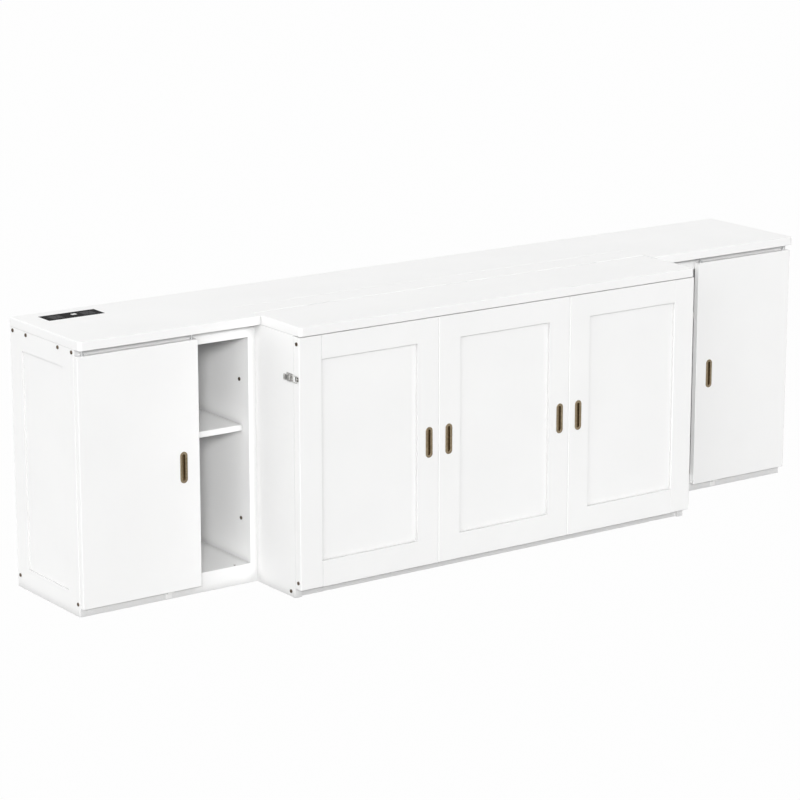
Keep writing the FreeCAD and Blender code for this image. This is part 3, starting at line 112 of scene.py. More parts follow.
class NodeTree:
    """A short way to write a material's nodes."""

    EDGE_SAMPLES = 4

    def __init__(self, name: str) -> None:
        """Start a new material with an output and one surface shader."""
        self.material = bpy.data.materials.new(name)
        self.material.use_nodes = True
        self.tree = self.material.node_tree
        self.surface = self.tree.nodes["Principled BSDF"]

    def add(self, kind: str, **settings: object) -> bpy.types.Node:
        """Add a node.

        Args:
            kind: Blender's name of the node type.
            settings: properties of the node.

        Returns:
            The new node.
        """
        node = self.tree.nodes.new(kind)
        for key, value in settings.items():
            setattr(node, key, value)
        return node

    def link(self, source: bpy.types.NodeSocket, target: bpy.types.NodeSocket) -> None:
        """Join an output socket to an input socket."""
        self.tree.links.new(source, target)

    def place(self, stretch: Triple = (1.0, 1.0, 1.0)) -> bpy.types.NodeSocket:
        """Give object coordinates, stretched.

        Args:
            stretch: factor on each axis.

        Returns:
            The socket that holds the coordinates.
        """
        source = self.add("ShaderNodeTexCoord")
        mapping = self.add("ShaderNodeMapping")
        mapping.inputs["Scale"].default_value = stretch
        self.link(source.outputs["Object"], mapping.inputs["Vector"])
        return mapping.outputs["Vector"]

    def noise(self, where: bpy.types.NodeSocket, scale: float, detail: float = 3.0,
              distortion: float = 0.0) -> bpy.types.NodeSocket:
        """Add a noise pattern.

        Args:
            where: the coordinates it reads.
            scale: features per metre.
            detail: octaves.
            distortion: how much the pattern is warped.

        Returns:
            The socket with the pattern's value.
        """
        node = self.add("ShaderNodeTexNoise")
        node.inputs["Scale"].default_value = scale
        node.inputs["Detail"].default_value = detail
        node.inputs["Distortion"].default_value = distortion
        self.link(where, node.inputs["Vector"])
        return node.outputs["Fac"]

    def ramp(self, value: bpy.types.NodeSocket, places: tuple[float, ...],
             colors: tuple[Color, ...]) -> bpy.types.NodeSocket:
        """Turn a value into a colour.

        Args:
            value: the socket to read.
            places: values from 0 to 1.
            colors: the colour at each of them.

        Returns:
            The colour socket.
        """
        node = self.add("ShaderNodeValToRGB")
        elements = node.color_ramp.elements
        while len(elements) < len(places):
            elements.new(0.5)
        for element, place, color in zip(elements, places, colors):
            element.position = place
            element.color = (*color, 1.0)
        self.link(value, node.inputs["Fac"])
        return node.outputs["Color"]

    def between(self, value: bpy.types.NodeSocket, low: float, high: float) -> bpy.types.NodeSocket:
        """Map a value from 0..1 to low..high."""
        node = self.add("ShaderNodeMapRange")
        node.inputs["To Min"].default_value = low
        node.inputs["To Max"].default_value = high
        self.link(value, node.inputs["Value"])
        return node.outputs["Result"]

    def relief(self, height: bpy.types.NodeSocket, strength: float, distance: float,
               soft_edge: float) -> None:
        """Set the surface's normal from a height pattern on softened edges.

        Args:
            height: the pattern.
            strength: share of the pattern that shows.
            distance: height of the pattern in metres.
            soft_edge: radius of the softened edges in metres, 0 for none.
        """
        bump = self.add("ShaderNodeBump")
        bump.inputs["Strength"].default_value = strength
        bump.inputs["Distance"].default_value = distance
        self.link(height, bump.inputs["Height"])
        if soft_edge > 0:
            edge = self.add("ShaderNodeBevel")
            edge.samples = self.EDGE_SAMPLES
            edge.inputs["Radius"].default_value = soft_edge
            self.link(edge.outputs["Normal"], bump.inputs["Normal"])
        self.link(bump.outputs["Normal"], self.surface.inputs["Normal"])

    def set(self, **values: float) -> None:
        """Set plain values on the surface shader's own sockets, by their names in lower case."""
        for key, value in values.items():
            socket = key.replace("_", " ").title().replace("Ior", "IOR")
            self.surface.inputs[socket].default_value = value


@dataclass(frozen=True)
class Paint:
    """Sprayed satin paint on board: nearly even, with a fine orange-peel skin and painted shade in its
    inside corners.
    """

    name: str
    light: Color
    shade: Color
    rough_low: float = 0.44
    rough_high: float = 0.54
    shine: float = 0.25
    cloud_scale: float = 3.5
    cloud_span: tuple[float, float] = (0.3, 0.7)
    haze_scale: float = 31.5
    skin_scale: float = 620.0
    skin_strength: float = 0.25
    skin_height: float = 0.00012
    soft_edge: float = 0.0008
    corner_reach: float = 0.05
    corner_samples: int = 8
    painted_corner_shade: float = 0.74
    painted_border_shade: float = 0.95
    # Ambient occlusion openness at which the colour is unshaded, darkened by painted corner shade, still
    # darkened, lightly darkened by painted border shade, and unshaded again where the spot is open
    openness: tuple[float, ...] = (0.06, 0.24, 0.56, 0.66, 0.96)

    def material(self) -> bpy.types.Material:
        """Make the paint's material, darkened by painted shade near inside corners, and left unshaded where
        a spot is covered all round.
        """
        tree = NodeTree(self.name)
        tree.set(specular_ior_level=self.shine)
        where = tree.place()
        cloud = tree.noise(where, self.cloud_scale, detail=4.0)
        color = tree.ramp(cloud, self.cloud_span, (self.shade, self.light))
        # Painted shade: an ambient occlusion node darkens the base colour near inside corners and between
        # nearby parts
        corner = tree.add("ShaderNodeAmbientOcclusion", samples=self.corner_samples)
        corner.inputs["Distance"].default_value = self.corner_reach
        tones = (1.0, self.painted_corner_shade, self.painted_corner_shade, self.painted_border_shade, 1.0)
        painted_corner_shading = tree.ramp(corner.outputs["AO"], self.openness, tuple((tone, tone, tone) for tone in tones))
        mixed = tree.add("ShaderNodeVectorMath", operation="MULTIPLY")
        tree.link(color, mixed.inputs[0])
        tree.link(painted_corner_shading, mixed.inputs[1])
        tree.link(mixed.outputs["Vector"], tree.surface.inputs["Base Color"])
        haze = tree.noise(where, self.haze_scale, detail=2.0)
        tree.link(tree.between(haze, self.rough_low, self.rough_high), tree.surface.inputs["Roughness"])
        skin = tree.noise(where, self.skin_scale, detail=2.0)
        tree.relief(skin, self.skin_strength, self.skin_height, self.soft_edge)
        return tree.material


@dataclass(frozen=True)
class Pine:
    """Planed softwood: rings stretched along the grain, finer fibres, and a shift from board to board."""

    name: str
    grain: Grain
    board_pitch: float
    board_axis: int
    pale: Color = (0.73, 0.56, 0.36)
    warm: Color = (0.62, 0.44, 0.25)
    ring: Color = (0.46, 0.29, 0.14)
    color_places: tuple[float, ...] = (0.12, 0.55, 0.9)
    ring_scale: float = 26.0
    ring_warp: float = 5.0
    ring_detail: float = 2.5
    ring_detail_scale: float = 1.4
    ring_share: float = 0.65
    fibre_scale: float = 420.0
    fibre_share: float = 0.35
    fibre_strength: float = 0.35
    fibre_height: float = 0.0003
    rough_low: float = 0.5
    rough_high: float = 0.68
    soft_edge: float = 0.0012
    run_axis: int = AXIS_X
    run_span: tuple[float, float] | None = None

    def turned_scale(self, tree: NodeTree, apart: bpy.types.Node) -> bpy.types.NodeSocket:
        """The pattern's stretch: along the grain inside run_span, and along X in the cross bars outside it.

        Args:
            tree: The material's tree.
            apart: The node that gives X, Y and Z apart.

        Returns:
            The socket with the stretch.
        """
        inside = []
        for test, limit in zip(("GREATER_THAN", "LESS_THAN"), self.run_span):
            node = tree.add("ShaderNodeMath", operation=test)
            node.inputs[1].default_value = limit
            tree.link(apart.outputs[self.run_axis], node.inputs[0])
            inside.append(node.outputs[0])
        both = tree.add("ShaderNodeMath", operation="MULTIPLY")
        tree.link(inside[0], both.inputs[0])
        tree.link(inside[1], both.inputs[1])
        stretch = tree.add("ShaderNodeMix", data_type="VECTOR")
        stretch.inputs[MIX_VECTOR_FIRST].default_value = Grain.ALONG_X.value
        stretch.inputs[MIX_VECTOR_SECOND].default_value = self.grain.value
        tree.link(both.outputs[0], stretch.inputs[0])
        return stretch.outputs[MIX_VECTOR_RESULT]

    def material(self) -> bpy.types.Material:
        """Make the wood's material."""
        tree = NodeTree(self.name)
        source = tree.add("ShaderNodeTexCoord")
        apart = tree.add("ShaderNodeSeparateXYZ")
        tree.link(source.outputs["Object"], apart.inputs["Vector"])
        step = tree.add("ShaderNodeMath", operation="DIVIDE")
        step.inputs[1].default_value = self.board_pitch
        tree.link(apart.outputs[self.board_axis], step.inputs[0])
        board = tree.add("ShaderNodeMath", operation="FLOOR")
        tree.link(step.outputs[0], board.inputs[0])
        scatter = tree.add("ShaderNodeTexWhiteNoise", noise_dimensions="1D")
        tree.link(board.outputs[0], scatter.inputs["W"])
        shift = tree.add("ShaderNodeVectorMath", operation="ADD")
        tree.link(source.outputs["Object"], shift.inputs[0])
        tree.link(scatter.outputs["Color"], shift.inputs[1])
        mapping = tree.add("ShaderNodeMapping")
        mapping.inputs["Scale"].default_value = self.grain.value
        if self.run_span:
            tree.link(self.turned_scale(tree, apart), mapping.inputs["Scale"])
        tree.link(shift.outputs["Vector"], mapping.inputs["Vector"])
        where = mapping.outputs["Vector"]
        rings = tree.add("ShaderNodeTexWave", wave_type="RINGS", rings_direction="SPHERICAL")
        rings.inputs["Scale"].default_value = self.ring_scale
        rings.inputs["Distortion"].default_value = self.ring_warp
        rings.inputs["Detail"].default_value = self.ring_detail
        rings.inputs["Detail Scale"].default_value = self.ring_detail_scale
        tree.link(where, rings.inputs["Vector"])
        fibre = tree.noise(where, self.fibre_scale, detail=4.0)
        mixed = tree.add("ShaderNodeMath", operation="MULTIPLY_ADD")
        mixed.inputs[1].default_value = self.fibre_share
        tree.link(fibre, mixed.inputs[0])
        soft = tree.between(rings.outputs["Fac"], 0.0, self.ring_share)
        tree.link(soft, mixed.inputs[2])
        color = tree.ramp(mixed.outputs[0], self.color_places, (self.pale, self.warm, self.ring))
        tree.link(color, tree.surface.inputs["Base Color"])
        tree.link(tree.between(fibre, self.rough_low, self.rough_high), tree.surface.inputs["Roughness"])
        tree.relief(fibre, self.fibre_strength, self.fibre_height, self.soft_edge)
        return tree.material


@dataclass(frozen=True)
class Metal:
    """Bare or plated metal with faint brushing, smudges and slightly softened edges."""

    name: str
    light: Color
    shade: Color
    rough_low: float
    rough_high: float
    brush: Grain = Grain.ALONG_X
    brush_scale: float = 900.0
    brush_strength: float = 0.4
    brush_height: float = 0.00006
    patch_scale: float = 70.0
    patch_warp: float = 0.4
    patch_span: tuple[float, float] = (0.32, 0.68)
    metallic: float = 1.0
    soft_edge: float = 0.0004

    def material(self) -> bpy.types.Material:
        """Make the metal's material."""
        tree = NodeTree(self.name)
        tree.set(metallic=self.metallic)
        patches = tree.noise(tree.place(), self.patch_scale, detail=4.0, distortion=self.patch_warp)
        color = tree.ramp(patches, self.patch_span, (self.shade, self.light))
        tree.link(color, tree.surface.inputs["Base Color"])
        lines = tree.noise(tree.place(self.brush.value), self.brush_scale)
        tree.link(tree.between(lines, self.rough_low, self.rough_high), tree.surface.inputs["Roughness"])
        tree.relief(lines, self.brush_strength, self.brush_height, self.soft_edge)
        return tree.material


@dataclass(frozen=True)
class Plastic:
    """Moulded plastic with a fine spark-eroded texture."""

    name: str
    light: Color
    shade: Color
    rough_low: float
    rough_high: float
    cloud_scale: float = 25.0
    cloud_span: tuple[float, float] = (0.3, 0.7)
    texture_scale: float = 1500.0
    texture_strength: float = 0.3
    texture_height: float = 0.00008
    soft_edge: float = 0.0006
    shine: float = 0.5

    def material(self) -> bpy.types.Material:
        """Make the plastic's material."""
        tree = NodeTree(self.name)
        tree.set(specular_ior_level=self.shine)
        where = tree.place()
        clouds = tree.noise(where, self.cloud_scale)
        color = tree.ramp(clouds, self.cloud_span, (self.shade, self.light))
        tree.link(color, tree.surface.inputs["Base Color"])
        skin = tree.noise(where, self.texture_scale, detail=2.0)
        tree.link(tree.between(skin, self.rough_low, self.rough_high), tree.surface.inputs["Roughness"])
        tree.relief(skin, self.texture_strength, self.texture_height, self.soft_edge)
        return tree.material


@dataclass
class Surface:
    """A mesh in the making: points and faces as arrays, with a finish number for each face."""

    MERGE_DISTANCE = 1e-6
    SHORTEST_EDGE = 1e-7

    points: np.ndarray
    faces: np.ndarray
    finish: np.ndarray

    @classmethod
    def grid(cls, points: np.ndarray, finish: np.ndarray) -> "Surface":
        """Join a grid of points into four-sided faces.

        The grid's second direction is closed, so the last column joins the first.

        Args:
            points: array of rows x columns x 3.
            finish: finish number for each row of faces.

        Returns:
            The surface.
        """
        rows, columns = points.shape[:2]
        index = np.arange(rows * columns).reshape(rows, columns)
        following = np.roll(index, -1, axis=1)
        quads = np.stack([index[:-1], following[:-1], following[1:], index[1:]], axis=-1)
        numbers = np.repeat(np.asarray(finish), columns)
        return cls(points.reshape(-1, 3), quads.reshape(-1, 4), numbers)

    def copies(self, frames: np.ndarray) -> "Surface":
        """Repeat the surface.

        Args:
            frames: array of count x 4 x 4 place matrices.

        Returns:
            One surface with every copy.
        """
        count = len(self.points)
        turned = np.einsum("nij,pj->npi", frames[:, :3, :3], self.points) + frames[:, None, :3, 3]
        shift = np.arange(len(frames))[:, None, None] * count
        faces = (self.faces[None] + shift).reshape(-1, 4)
        return Surface(turned.reshape(-1, 3), faces, np.tile(self.finish, len(frames)))

    def piece(self, name: str, materials: list[bpy.types.Material],
              smooth_angle: float) -> bpy.types.Object:
        """Make the Blender object, with its place in its mesh.

        Args:
            name: the piece's name.
            materials: one for each finish number.
            smooth_angle: faces that meet at less than this angle, in degrees, are shaded as one.

        Returns:
            The new object.
        """
        mesh = bpy.data.meshes.new(name)
        mesh.vertices.add(len(self.points))
        mesh.vertices.foreach_set("co", self.points.astype(np.float32).ravel())
        mesh.loops.add(self.faces.size)
        mesh.loops.foreach_set("vertex_index", self.faces.astype(np.int32).ravel())
        mesh.polygons.add(len(self.faces))
        mesh.polygons.foreach_set("loop_start", np.arange(0, self.faces.size, 4, dtype=np.int32))
        mesh.polygons.foreach_set("material_index", self.finish.astype(np.int32))
        mesh.update(calc_edges=True)
        made = bpy.data.objects.new(name, mesh)
        bpy.context.scene.collection.objects.link(made)
        for material in materials:
            mesh.materials.append(material)
        self._close(mesh)
        mesh.shade_smooth()
        mesh.set_sharp_from_angle(angle=np.radians(smooth_angle))
        return made

    def _close(self, mesh: bpy.types.Mesh) -> None:
        """Merge the points that meet at a pole or a middle line, so that the shell is closed."""
        work = bmesh.new()
        work.from_mesh(mesh)
        bmesh.ops.remove_doubles(work, verts=work.verts, dist=self.MERGE_DISTANCE)
        bmesh.ops.dissolve_degenerate(work, edges=work.edges, dist=self.SHORTEST_EDGE)
        bmesh.ops.recalc_face_normals(work, faces=work.faces)
        work.to_mesh(mesh)
        work.free()


@dataclass
class FlushPulls:
    """Rounded brass pulls let into the doors and the front."""

    length: float = 0.104
    width: float = 0.0275
    pair_gap: float = 0.080
    around: int = 72
    smooth_angle: float = 40.0
    # From the back's middle line over the rim to the cup's middle line: inset from the outline and height
    # over the face, in millimetres, then the finish number of the face that starts there
    profile: tuple[tuple[float, float, int], ...] = (
        (14.0, -10.0, 1), (8.7, -10.0, 1), (7.4, -9.0, 0), (7.3, 0.0, 0), (0.15, 0.0, 0), (0.0, 0.15, 0),
        (0.05, 0.7, 0), (0.35, 1.2, 0), (0.95, 1.5, 0), (7.4, 1.5, 0), (8.1, 1.3, 0), (8.45, 0.8, 0),
        (8.55, 0.1, 1), (8.65, -6.0, 1), (9.1, -7.6, 1), (10.0, -8.5, 1), (11.0, -8.8, 1), (14.0, -8.8, 1),
    )

    def surface(self) -> Surface:
        """Carry the profile round a slot outline.

        The outline is a half circle at each end of a straight middle. A point at angle t with inset s is
        (w - s) * (cos t, sin t), moved by the straight half length to the side that sin t's sign gives.

        Returns:
            One pull centred at the origin, facing -Y, with its length along Z.
        """
        radius = self.width / 2
        straight = self.length / 2 - radius
        inset, height, finish = np.array(self.profile).T
        angle = np.linspace(0, 2 * np.pi, self.around, endpoint=False) + np.pi / self.around
        reach = np.maximum(radius - inset / MILLIMETRES_PER_METRE, 0.0)[:, None]
        x = reach * np.cos(angle)
        z = reach * np.sin(angle) + straight * np.sign(np.sin(angle))
        y = np.repeat(-height[:, None] / MILLIMETRES_PER_METRE, self.around, axis=1)
        return Surface.grid(np.stack([x, y, z], axis=-1), finish[:-1].astype(int))

    def build(self, finishes: list[bpy.types.Material]) -> list[bpy.types.Object]:
        """Make the pulls and let each stand for its plain node.

        Args:
            finishes: the rim's material and the cup's.

        Returns:
            The pieces.
        """
        made = []
        shape = self.surface()
        for node, body in (("left_door_pull", "left_door"), ("right_door_pull", "right_door"),
                           ("front_pulls", "footboard")):
            low, high = (np.array(corner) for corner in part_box(node))
            middle = (low + high) / 2
            face = low[1] + max(height for _, height, _ in self.profile) / MILLIMETRES_PER_METRE
            places = [middle[0]]
            if body == "footboard":
                outer = (high[0] - low[0] - self.width) / 2
                places = [-outer, -outer + self.pair_gap, outer - self.pair_gap, outer]
            frames = np.tile(np.eye(4), (len(places), 1, 1))
            frames[:, :3, 3] = [(x, face, middle[2]) for x in places]
            piece = shape.copies(frames).piece(f"{node}_rounded", finishes, self.smooth_angle)
            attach(piece, body)
            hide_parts(node)
            made.append(piece)
        return made


@dataclass
class FastenerRow:
    """Equal screw heads or rivets on one body: where they are and which way they face."""

    name: str
    body: str
    slot: str
    facing: Facing
    spots: np.ndarray


@dataclass
class Fasteners:
    """Screw heads with a cross recess, and plain rivets."""

    radius: float = 0.0036
    height: float = 0.0009
    sides: int = 16
    smooth_angle: float = 50.0
    rings: tuple[float, ...] = (0.0, 0.22, 0.5, 0.62, 0.84, 0.97, 1.0, 1.0, 0.0)
    levels: tuple[float, ...] = (1.0, 1.0, 0.97, 0.93, 0.74, 0.4, 0.15, -0.15, -0.15)
    recess: tuple[float, ...] = (1.2, 1.2, 1.0, 0.0, 0.0, 0.0, 0.0, 0.0, 0.0)
    recess_depth: float = 0.75
    slot_step: int = 4

    def surface(self, crossed: bool) -> Surface:
        """Turn a low dome round Z.

        The height at ring r is the dome's level there. Where crossed, each fourth spoke of the inner rings
        is let down by the recess, which leaves a four-pointed slot.

        Args:
            crossed: True for a screw, False for a rivet.

        Returns:
            One head on the plane Z = 0.
        """
        angle = np.linspace(0, 2 * np.pi, self.sides, endpoint=False)
        ring = np.array(self.rings)[:, None] * self.radius
        spoke = (np.arange(self.sides) % self.slot_step == 0).astype(float)
        drop = np.array(self.recess)[:, None] * spoke[None] * (1.0 if crossed else 0.0)
        drop[0] = drop[0].max()
        level = np.array(self.levels)[:, None] - drop * self.recess_depth
        points = np.stack([ring * np.cos(angle), ring * np.sin(angle), level * self.height], axis=-1)
        return Surface.grid(points, np.zeros(len(self.rings) - 1, dtype=int))

    @staticmethod
    def frames(row: FastenerRow) -> np.ndarray:
        """Turn the head from +Z to the row's facing, and set one on each spot."""
        turn = np.array(Vector((0, 0, 1)).rotation_difference(Vector(row.facing.value)).to_matrix())
        frames = np.tile(np.eye(4), (len(row.spots), 1, 1))
        frames[:, :3, :3] = turn
        frames[:, :3, 3] = row.spots
        return frames

    def build(self, rows: list[FastenerRow], finishes: dict[str, bpy.types.Material],
              crossed: bool) -> list[bpy.types.Object]:
        """Make one piece for each row.

        Args:
            rows: the rows.
            finishes: material of each slot.
            crossed: True for screws, False for rivets.

        Returns:
            The pieces.
        """
        made = []
        shape = self.surface(crossed)
        for row in rows:
            heads = shape.copies(self.frames(row))
            piece = heads.piece(row.name, [finishes[row.slot]], self.smooth_angle)
            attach(piece, row.body)
            made.append(piece)
        return made


def lattice(xs: list[float], ys: list[float], zs: list[float]) -> np.ndarray:
    """Every combination of the given X, Y and Z places, as an array of points."""
    return np.stack(np.meshgrid(xs, ys, zs, indexing="ij"), axis=-1).reshape(-1, 3)


@dataclass
class DeckHardware:
    """Screws of the folding deck: in the hinge leaves, in the slats and in the roller brackets."""

    hinge_places: tuple[float, ...] = (-0.600, -0.180, 0.180, 0.600)
    screw_offsets: tuple[float, ...] = (-0.030, 0.0, 0.030)
    bar_places: tuple[float, ...] = (-0.740, -0.250, 0.250, 0.740)
    rear_bar_places: tuple[float, ...] = (-0.780, -0.250, 0.250, 0.780)
    slat_low: float = 0.150
    slats: int = 7
    rear_slat_depth: float = 0.071
    rear_slats: int = 5
    rear_slat_top: float = 0.110
    middle_slat_face: float = 0.544
    front_slat_face: float = 0.634
    back_leaf_depth: float = 0.5425
    foot_leaf_depth: float = 0.6355
    # Leaves on the deck's ends lie level, the others stand: inner and outer place of their staggered screws
    level_leaf_low: float = 0.1125
    level_leaf_high: float = 0.8575
    middle_leaf_depths: tuple[float, float] = (0.560, 0.573)
    front_leaf_depths: tuple[float, float] = (0.605, 0.618)
    standing_leaf_heights: tuple[float, float] = (0.094, 0.081)
    bracket_places: tuple[float, float] = (-0.690, 0.690)
    bracket_height: float = 0.050

    def leaf_spots(self, middle: tuple[float, float], sides: tuple[float, float]) -> np.ndarray:
        """Three staggered screws on each leaf of a hinge line.

        Args:
            middle: Y and Z of the middle screw.
            sides: Y and Z of the outer two.

        Returns:
            The screws' places.
        """
        hinge = np.repeat(np.array(self.hinge_places), len(self.screw_offsets))
        offset = np.tile(np.array(self.screw_offsets), len(self.hinge_places))
        is_middle = (offset == 0)[:, None]
        rest = np.where(is_middle, np.array(middle), np.array(sides))
        return np.column_stack([hinge + offset, rest])

    def rows(self) -> list[FastenerRow]:
        """List the screws of each body."""
        slat_heights = [self.slat_low + number * SLAT_PITCH for number in range(self.slats)]
        rear_depths = [depth(self.rear_slat_depth + number * REAR_SLAT_PITCH)
                       for number in range(self.rear_slats)]
        bars = list(self.bar_places)
        low = self.level_leaf_low
        high = self.level_leaf_high
        back = depth(self.back_leaf_depth)
        foot = depth(self.foot_leaf_depth)
        upper, lower = self.standing_leaf_heights
        middle_near, middle_far = (depth(value) for value in self.middle_leaf_depths)
        front_near, front_far = (depth(value) for value in self.front_leaf_depths)
        listed = [
            ("rear_hinge_screws", "cabinet", Facing.FORWARD,
             self.leaf_spots((back, upper), (back, lower))),
            ("middle_low_hinge_screws", "middle_deck", Facing.DOWN,
             self.leaf_spots((middle_near, low), (middle_far, low))),
            ("middle_high_hinge_screws", "middle_deck", Facing.UP,
             self.leaf_spots((middle_far, high), (middle_near, high))),
            ("front_high_hinge_screws", "front_deck", Facing.UP,
             self.leaf_spots((front_near, high), (front_far, high))),
            ("front_low_hinge_screws", "front_deck", Facing.DOWN,
             self.leaf_spots((front_far, low), (front_near, low))),
            ("front_hinge_screws", "footboard", Facing.BACKWARD,
             self.leaf_spots((foot, upper), (foot, lower))),
            ("rear_slat_screws", "cabinet", Facing.UP,
             lattice(list(self.rear_bar_places), rear_depths, [self.rear_slat_top])),
            ("middle_slat_screws", "middle_deck", Facing.BACKWARD,
             lattice(bars, [depth(self.middle_slat_face)], slat_heights)),
            ("front_slat_screws", "front_deck", Facing.FORWARD,
             lattice(bars, [depth(self.front_slat_face)], slat_heights)),
            ("roller_bracket_screws", "footboard", Facing.BACKWARD,
             lattice(list(self.bracket_places), [foot], [self.bracket_height])),
        ]
        return [FastenerRow(name, body, "hinge_steel", facing, spots)
                for name, body, facing, spots in listed]


@dataclass
class LatchHardware:
    """Rivets of the draw latches on both flanks."""

    flank: float = 0.8215
    middle: float = 0.731
    base_depth: float = 0.6325
    base_spread: float = 0.0085
    strike_depth: float = 0.6628
    rivet_radius: float = 0.0021
    rivet_height: float = 0.0007

    def rows(self) -> list[FastenerRow]:
        """List the rivets of the latch bases and strikes."""
        made = []
        for side, sign, facing in (("left", -1, Facing.LEFT), ("right", 1, Facing.RIGHT)):
            base = lattice([sign * self.flank], [depth(self.base_depth)],
                           [self.middle - self.base_spread, self.middle + self.base_spread])
            strike = lattice([sign * self.flank], [depth(self.strike_depth)], [self.middle])
            made.append(FastenerRow(f"{side}_latch_base_rivets", "cabinet", "chrome", facing, base))
            made.append(FastenerRow(f"{side}_latch_strike_rivets", "footboard", "chrome", facing, strike))
        return made


@dataclass
class Stage:
    """Floor, light and camera."""

    eye: Triple = (-5.811, -7.910, 2.940)
    aim: Triple = (0.56169, 0.79080, -0.24317)
    lens: float = 132.87
    sensor_width: float = 36.0
    clip_end: float = 500.0
    floor_size: float = 160.0
    floor_glow: float = 0.985
    floor_tone: float = 0.30
    fill: float = 0.245
    # Each lamp: name, strength as a share of full light, the way it shines, and its width in degrees
    lamps: tuple[tuple[str, float, Triple, float], ...] = (
        ("front_lamp", 0.77, (0.525, 0.84, -0.34), 12.0),
        ("corner_lamp", 0.20, (0.82, 0.52, -0.24), 36.0),
        ("back_lamp", 0.48, (0.05, -0.88, -0.48), 50.0),
        ("right_lamp", 0.34, (-1.0, -0.15, -0.25), 60.0),
        ("left_lamp", 0.19, (1.0, -0.08, -0.35), 70.0),
    )
    white: Color = (1.0, 1.0, 1.0)

    def build(self) -> None:
        """Set up everything round the object."""
        bpy.context.scene.view_settings.view_transform = "Standard"
        self._camera()
        self._world()
        self._lights()
        self._floor()

    def _camera(self) -> None:
        """Put the camera where the photograph was taken from."""
        data = bpy.data.cameras.new("camera")
        data.lens = self.lens
        data.sensor_width = self.sensor_width
        data.clip_end = self.clip_end
        camera = bpy.data.objects.new("camera", data)
        bpy.context.scene.collection.objects.link(camera)
        turn = Vector(self.aim).to_track_quat("-Z", "Y").to_matrix().to_4x4()
        camera.matrix_world = Matrix.Translation(Vector(self.eye)) @ turn
        bpy.context.scene.camera = camera

    @staticmethod
    def _seen(tree: bpy.types.NodeTree) -> bpy.types.NodeSocket:
        """A value of 1 for rays that show the background: straight, mirrored or through glass."""
        path = tree.nodes.new("ShaderNodeLightPath")
        first = tree.nodes.new("ShaderNodeMath")
        first.operation = "MAXIMUM"
        second = tree.nodes.new("ShaderNodeMath")
        second.operation = "MAXIMUM"
        tree.links.new(path.outputs["Is Camera Ray"], first.inputs[0])
        tree.links.new(path.outputs["Is Glossy Ray"], first.inputs[1])
        tree.links.new(first.outputs[0], second.inputs[0])
        tree.links.new(path.outputs["Is Transmission Ray"], second.inputs[1])
        return second.outputs[0]

    def _world(self) -> None:
        """White to look at, and an even soft light."""
        world = bpy.data.worlds.new("studio")
        world.use_nodes = True
        bpy.context.scene.world = world
        tree = world.node_tree
        light = tree.nodes["Background"]
        light.inputs["Color"].default_value = (*self.white, 1.0)
        light.inputs["Strength"].default_value = self.fill
        shown = tree.nodes.new("ShaderNodeBackground")
        shown.inputs["Color"].default_value = (*self.white, 1.0)
        mix = tree.nodes.new("ShaderNodeMixShader")
        tree.links.new(self._seen(tree), mix.inputs["Fac"])
        tree.links.new(light.outputs[0], mix.inputs[1])
        tree.links.new(shown.outputs[0], mix.inputs[2])
        tree.links.new(mix.outputs[0], tree.nodes["World Output"].inputs["Surface"])

    def _lights(self) -> None:
        """Soft lamps: from the front, from the front left corner, from behind and from each side."""
        for name, share, way, width in self.lamps:
            data = bpy.data.lights.new(name, "SUN")
            data.energy = share * np.pi
            data.angle = np.radians(width)
            lamp = bpy.data.objects.new(name, data)
            bpy.context.scene.collection.objects.link(lamp)
            lamp.matrix_world = Vector(way).to_track_quat("-Z", "Y").to_matrix().to_4x4()

    def _floor(self) -> None:
        """A pale floor that shows as white and keeps a soft shadow."""
        half = self.floor_size / 2
        mesh = bpy.data.meshes.new("floor")
        corners = [(-half, -half, 0), (half, -half, 0), (half, half, 0), (-half, half, 0)]
        mesh.from_pydata(corners, [], [(0, 1, 2, 3)])
        floor = bpy.data.objects.new("floor", mesh)
        bpy.context.scene.collection.objects.link(floor)
        material = bpy.data.materials.new("floor_white")
        material.use_nodes = True
        tree = material.node_tree
        matte = tree.nodes["Principled BSDF"]
        tone = self.floor_tone
        matte.inputs["Base Color"].default_value = (tone, tone, tone, 1.0)
        matte.inputs["Roughness"].default_value = 1.0
        matte.inputs["Specular IOR Level"].default_value = 0.0
        glow = tree.nodes.new("ShaderNodeEmission")
        share = tree.nodes.new("ShaderNodeMath")
        share.operation = "MULTIPLY"
        share.inputs[1].default_value = self.floor_glow
        tree.links.new(self._seen(tree), share.inputs[0])
        mix = tree.nodes.new("ShaderNodeMixShader")
        tree.links.new(share.outputs[0], mix.inputs["Fac"])
        tree.links.new(matte.outputs[0], mix.inputs[1])
        tree.links.new(glow.outputs[0], mix.inputs[2])
        tree.links.new(mix.outputs[0], tree.nodes["Material Output"].inputs["Surface"])
        mesh.materials.append(material)


